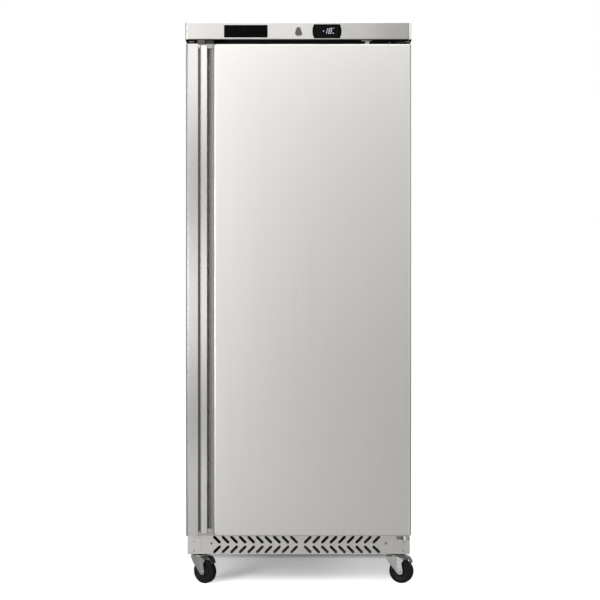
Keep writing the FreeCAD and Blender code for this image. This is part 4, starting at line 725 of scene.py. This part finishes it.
def display_digits():
    """Lit minus sign and eighteen, a small degree sign and a lamp."""
    form = Form()
    thin = 0.0005
    stroke(form, (-0.0136, 0.0000), (-0.0098, 0.0000), 0.0009)
    stroke(form, (-0.0002, -0.0080), (-0.0002, 0.0000), thin)
    stroke(form, (0.0004, 0.0016), (0.0004, 0.0092), thin)
    left, right, foot, top = 0.0066, 0.0152, -0.0086, 0.0100
    for x in (left, right):
        stroke(form, (x, foot + 0.0004), (x, 0.0004), thin)
        stroke(form, (x, 0.0012), (x, top - 0.0004), thin)
    for z in (foot, 0.0008, top):
        stroke(form, (left + 0.0006, z), (right - 0.0006, z), 0.0004)
    ring = [(0.0236 + 0.0010 * math.cos(a), 0.0107 + 0.0010 * math.sin(a))
            for a in [math.pi * k / 3 for k in range(7)]]
    for a, b in zip(ring, ring[1:]):
        stroke(form, a, b, 0.0003, slant=0)
    lamp = [(DISPLAY[0] + 0.0214 + 0.0014 * math.cos(a), DISPLAY[1] - 0.0072 + 0.0014 * math.sin(a))
            for a in [math.pi * k / 8 for k in range(16)]]
    form.prism(lamp, WINDOW_Y + 0.0002, LIT_Y)
    form.piece("display_digits", "cabinet", [lit_digits])


# ---------------------------------------------------------------- lock

def lock_bezel():
    """Round steel escutcheon, a dark bell-shaped plate on its face whose darkness is a painted reflection, its
    barrel and the nut behind.
    """
    form = Form()
    profile = [(-0.0222, 0.0074), (-0.0222, 0.0095), (0.0000, 0.0095), (0.0000, 0.0170), (0.0008, 0.0170),
               (0.0012, 0.0167), (0.0014, 0.0160), (0.0013, 0.0153), (0.0012, 0.0140), (0.0011, 0.0120),
               (0.0010, 0.0090), (0.0010, 0.0074)]
    form.skin(turned(profile, (0, DOOR_FRONT, FITTING_HEIGHT), (0, -1, 0)), closed=True)
    nut = [(0.015 * math.cos(a), FITTING_HEIGHT + 0.015 * math.sin(a))
           for a in [math.pi * k / 3 for k in range(6)]]
    form.prism(nut, DOOR_FRONT + 0.001, DOOR_FRONT + 0.005)
    half_mm = [(2.4, 14.0), (4.6, 13.0), (6.6, 10.2), (8.2, 5.5), (9.6, 0.5), (11.4, -4.5), (12.4, -8.0),
               (11.2, -10.8), (8.6, -13.2), (4.6, -14.9)]
    bell_mm = half_mm + [(-x, z) for x, z in reversed(half_mm)]
    bell = [(x / 1000, FITTING_HEIGHT + z / 1000) for x, z in bell_mm]
    # The bell plate takes the darkened chrome as a painted reflection.
    form.prism(bell, DOOR_FRONT - 0.0008, DOOR_FRONT - 0.0019, finish=1)
    made = form.piece("lock_bezel", "cabinet", [steel_lock, lock_shaded_chrome], bevel=0.0003)
    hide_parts("lock_housing")


def lock_core():
    """Turning core with its key slot."""
    slot = []
    sides = 24
    circle = [(math.cos(a), math.sin(a)) for a in [2 * math.pi * k / sides for k in range(sides)]]
    for x, z in circle:
        slot.append((0.0012 * max(-1, min(1, 3 * x)), 0.0046 * max(-1, min(1, 1.3 * z))))
    back, front = DOOR_FRONT + 0.0222, DOOR_FRONT - 0.0023
    steps = [(back, 0.0066), (back, 0.0069), (front + 0.0005, 0.0069), (front, 0.0064)]
    rings = [[(r * x, y, FITTING_HEIGHT + r * z) for x, z in circle] for y, r in steps]
    rings.append([(x, front, FITTING_HEIGHT + z) for x, z in slot])
    rings.append([(x, front + 0.004, FITTING_HEIGHT + z) for x, z in slot])
    form = Form()
    form.skin(rings)
    # The walls and floor of the key slot take black plastic as painted shade of the deep keyway.
    for face in range(sides * len(steps), len(form.faces)):
        form.finish_of_face[face] = 1
    made = form.piece("lock_core", "lock", [lock_shaded_chrome, black_plastic])
    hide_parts("lock_plug")


# ---------------------------------------------------------------- gap above the door

def leaning_plate(form, outline, back, front, lean=0.22):
    """Plate on the strip behind the gap; its face leans to look down and out through the gap."""
    low = min(z for x, z in outline)
    form.skin([[(x, back, z) for x, z in outline],
               [(x, front - lean * (z - low), z) for x, z in outline]])


def gap_fittings():
    """Small bright parts on the strip behind the gap above the door: catch plate, clips and end stop."""
    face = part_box("gap_trim")[0][1]
    plate = Form()
    tee = [(0.2185, 1.8946), (0.2185, 1.8918), (0.2305, 1.8912), (0.2305, 1.8830), (0.2455, 1.8830),
           (0.2455, 1.8912), (0.2530, 1.8918), (0.2530, 1.8946)]
    leaning_plate(plate, tee, face + 0.0005, face - 0.0045)
    plate.piece("catch_plate", "cabinet", [catch_steel], bevel=0.0004)
    clips = Form()
    for x0, x1, z0, z1 in ((-0.3800, -0.3615, 1.8890, 1.8920), (0.3142, 0.3175, 1.8862, 1.8890),
                           (0.3785, 0.3830, 1.8860, 1.8930)):
        leaning_plate(clips, [(x0, z0), (x0, z1), (x1, z1), (x1, z0)], face + 0.0005, face - 0.0035)
    clips.piece("gap_clips", "cabinet", [catch_steel], bevel=0.0003)


def grip_top_plug():
    """Moulded plug that closes the grip's upper end, seen between door and fascia."""
    low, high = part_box("grip_caps")[1][2] - 0.0024, 1.8856
    seam, back = -0.3203, -0.3130
    form = Form()
    groove_part = [(-0.3425, low), (-0.3458, low + 0.006), (-0.3462, high), (seam, high), (seam, low)]
    finger_part = [(seam, low), (seam, high), (-0.2925, high), (-0.2885, low + 0.005), (-0.2885, low)]
    form.prism(groove_part, -0.3472, back)
    # The part behind the finger space sits farther back and takes the darker plastic as painted shade.
    form.prism(finger_part, -0.3400, back, finish=1)
    form.piece("grip_top_plug", "door", [grip_plug_grey, plug_shaded_plastic], bevel=0.0008)


# ---------------------------------------------------------------- castor wheels

def joint_named(name):
    return next(j for j in frame["joints"] if j["name"] == name)


def castor_wheels():
    """Solid rubber wheels: rounded tread, ringed sides, dished web, hub."""
    half = [(0.0143, 0.0046), (0.0143, 0.0098), (0.0136, 0.0106), (0.0108, 0.0112), (0.0100, 0.0125),
            (0.0100, 0.0278), (0.0107, 0.0292), (0.0119, 0.0302), (0.0124, 0.0316), (0.0124, 0.0334),
            (0.0119, 0.0340), (0.0119, 0.0348), (0.0124, 0.0354), (0.0124, 0.0384), (0.0119, 0.0404),
            (0.0104, 0.0419), (0.0084, 0.0424), (0.0040, 0.0425)]
    profile = half + [(-a, r) for a, r in reversed(half)]
    web_edge = 0.0293
    web = {k for k, (a, r) in enumerate(profile[:-1]) if max(r, profile[k + 1][1]) < web_edge}
    for corner in ("front_left", "front_right", "rear_left", "rear_right"):
        joint = joint_named(f"wheel_{corner}_roll")
        form = Form()
        form.skin(turned(profile, joint["pos_m"], joint["axis"]), closed=True)
        for k in web | {len(profile) - 1}:
            for face in range(k * TURN_STEPS, (k + 1) * TURN_STEPS):
                form.finish_of_face[face] = 1
        made = form.piece(f"wheel_{corner}", f"wheel_{corner}", [rubber, hub_plastic])
        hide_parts(f"castor_wheel_{corner}")


# ---------------------------------------------------------------- door seal

def door_seal():
    """Magnetic seal round the door: a soft profile with a bellows, a magnet pocket and mitred corners."""
    low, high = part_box("door_gasket")
    middle_x, middle_z = (low[0] + high[0]) / 2, (low[2] + high[2]) / 2
    half_x, half_z = (high[0] - low[0]) / 2, (high[2] - low[2]) / 2
    y0, depth, width = low[1], high[1] - low[1], 0.018
    profile = [(0.00, 0.00), (0.00, 0.22), (0.10, 0.34), (0.10, 0.46), (0.00, 0.58), (0.00, 0.86),
               (0.06, 1.00), (0.66, 1.00), (0.74, 0.92), (0.74, 0.62), (0.66, 0.52), (0.66, 0.42),
               (0.84, 0.34), (1.00, 0.30), (1.00, 0.12), (0.90, 0.00)]
    rings = []
    for sx, sz in ((-1, -1), (1, -1), (1, 1), (-1, 1)):
        rings.append([(middle_x + sx * (half_x - u * width), y0 + v * depth,
                       middle_z + sz * (half_z - u * width)) for u, v in profile])
    form = Form()
    form.skin(rings, closed=True)
    made = form.piece("door_seal", "door", [vinyl], sharp=50)
    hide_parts("door_gasket")


# ---------------------------------------------------------------- rear cover louvres

def louvre_tree():
    """Node tree that repeats one hood in rows and columns over the rear cover."""
    tree = bpy.data.node_groups.new("louvre_rows", "GeometryNodeTree")
    tree.interface.new_socket("Geometry", in_out="INPUT", socket_type="NodeSocketGeometry")
    tree.interface.new_socket("Geometry", in_out="OUTPUT", socket_type="NodeSocketGeometry")
    for name, kind in (("Columns", "NodeSocketInt"), ("Rows", "NodeSocketInt"), ("Width", "NodeSocketFloat"),
                       ("Height", "NodeSocketFloat"), ("Finish", "NodeSocketMaterial")):
        tree.interface.new_socket(name, in_out="INPUT", socket_type=kind)
    given = tree.nodes.new("NodeGroupInput")
    grid = tree.nodes.new("GeometryNodeMeshGrid")
    upright = tree.nodes.new("GeometryNodeTransform")
    upright.inputs["Rotation"].default_value = (math.radians(90), 0, 0)
    copies = tree.nodes.new("GeometryNodeInstanceOnPoints")
    real = tree.nodes.new("GeometryNodeRealizeInstances")
    finish = tree.nodes.new("GeometryNodeSetMaterial")
    result = tree.nodes.new("NodeGroupOutput")
    link = tree.links.new
    link(given.outputs["Width"], grid.inputs["Size X"])
    link(given.outputs["Height"], grid.inputs["Size Y"])
    link(given.outputs["Columns"], grid.inputs["Vertices X"])
    link(given.outputs["Rows"], grid.inputs["Vertices Y"])
    link(grid.outputs["Mesh"], upright.inputs["Geometry"])
    link(upright.outputs["Geometry"], copies.inputs["Points"])
    link(given.outputs["Geometry"], copies.inputs["Instance"])
    link(copies.outputs["Instances"], real.inputs["Geometry"])
    link(real.outputs["Geometry"], finish.inputs["Geometry"])
    link(given.outputs["Finish"], finish.inputs["Material"])
    link(finish.outputs["Geometry"], result.inputs["Geometry"])
    return tree


def rear_louvres():
    """Pressed hood over each slot of the rear cover."""
    hood = Form()
    profile = [(0.0000, 0.0062), (0.0014, 0.0056), (0.0026, 0.0040), (0.0033, 0.0016), (0.0033, -0.0012),
               (0.0027, -0.0012), (0.0027, 0.0014), (0.0021, 0.0034), (0.0011, 0.0048), (0.0000, 0.0053)]
    ends = [(-0.066, 0.15), (-0.064, 0.7), (-0.061, 1.0), (0.061, 1.0), (0.064, 0.7), (0.066, 0.15)]
    hood.skin([[(x, y * rise, z) for y, z in profile] for x, rise in ends])
    mesh = bpy.data.meshes.new("louvre_hood")
    mesh.from_pydata(hood.points, [], hood.faces)
    source = bpy.data.objects.new("louvre_hood", mesh)
    scene.collection.objects.link(source)
    rows = source.modifiers.new("rows", "NODES")
    rows.node_group = louvre_tree()
    values = {"Columns": 3, "Rows": 7, "Width": 0.440, "Height": 0.132, "Finish": galvanised}
    for socket in rows.node_group.interface.items_tree:
        if socket.in_out == "INPUT" and socket.name in values:
            rows[socket.identifier] = values[socket.name]
    ready = source.evaluated_get(bpy.context.evaluated_depsgraph_get())
    plain = bpy.data.meshes.new_from_object(ready)
    bpy.data.objects.remove(source)
    form = Form()
    form.points = [(v.co.x, v.co.y + BACK, v.co.z + LOUVRE_HEIGHT) for v in plain.vertices]
    for polygon in plain.polygons:
        form.face(polygon.vertices)
    form.piece("rear_louvres", "cabinet", [galvanised])


# ---------------------------------------------------------------- studio set-up

photo_camera()
studio_walls(fill=0.03)
studio_floor(under=0.31, right_under=0.15, back_under=0.38)
for lamp in LAMPS:
    soft_box(*lamp)
finish_frame()
display_front()
display_digits()
lock_bezel()
lock_core()
gap_fittings()
grip_top_plug()
castor_wheels()
door_seal()
rear_louvres()
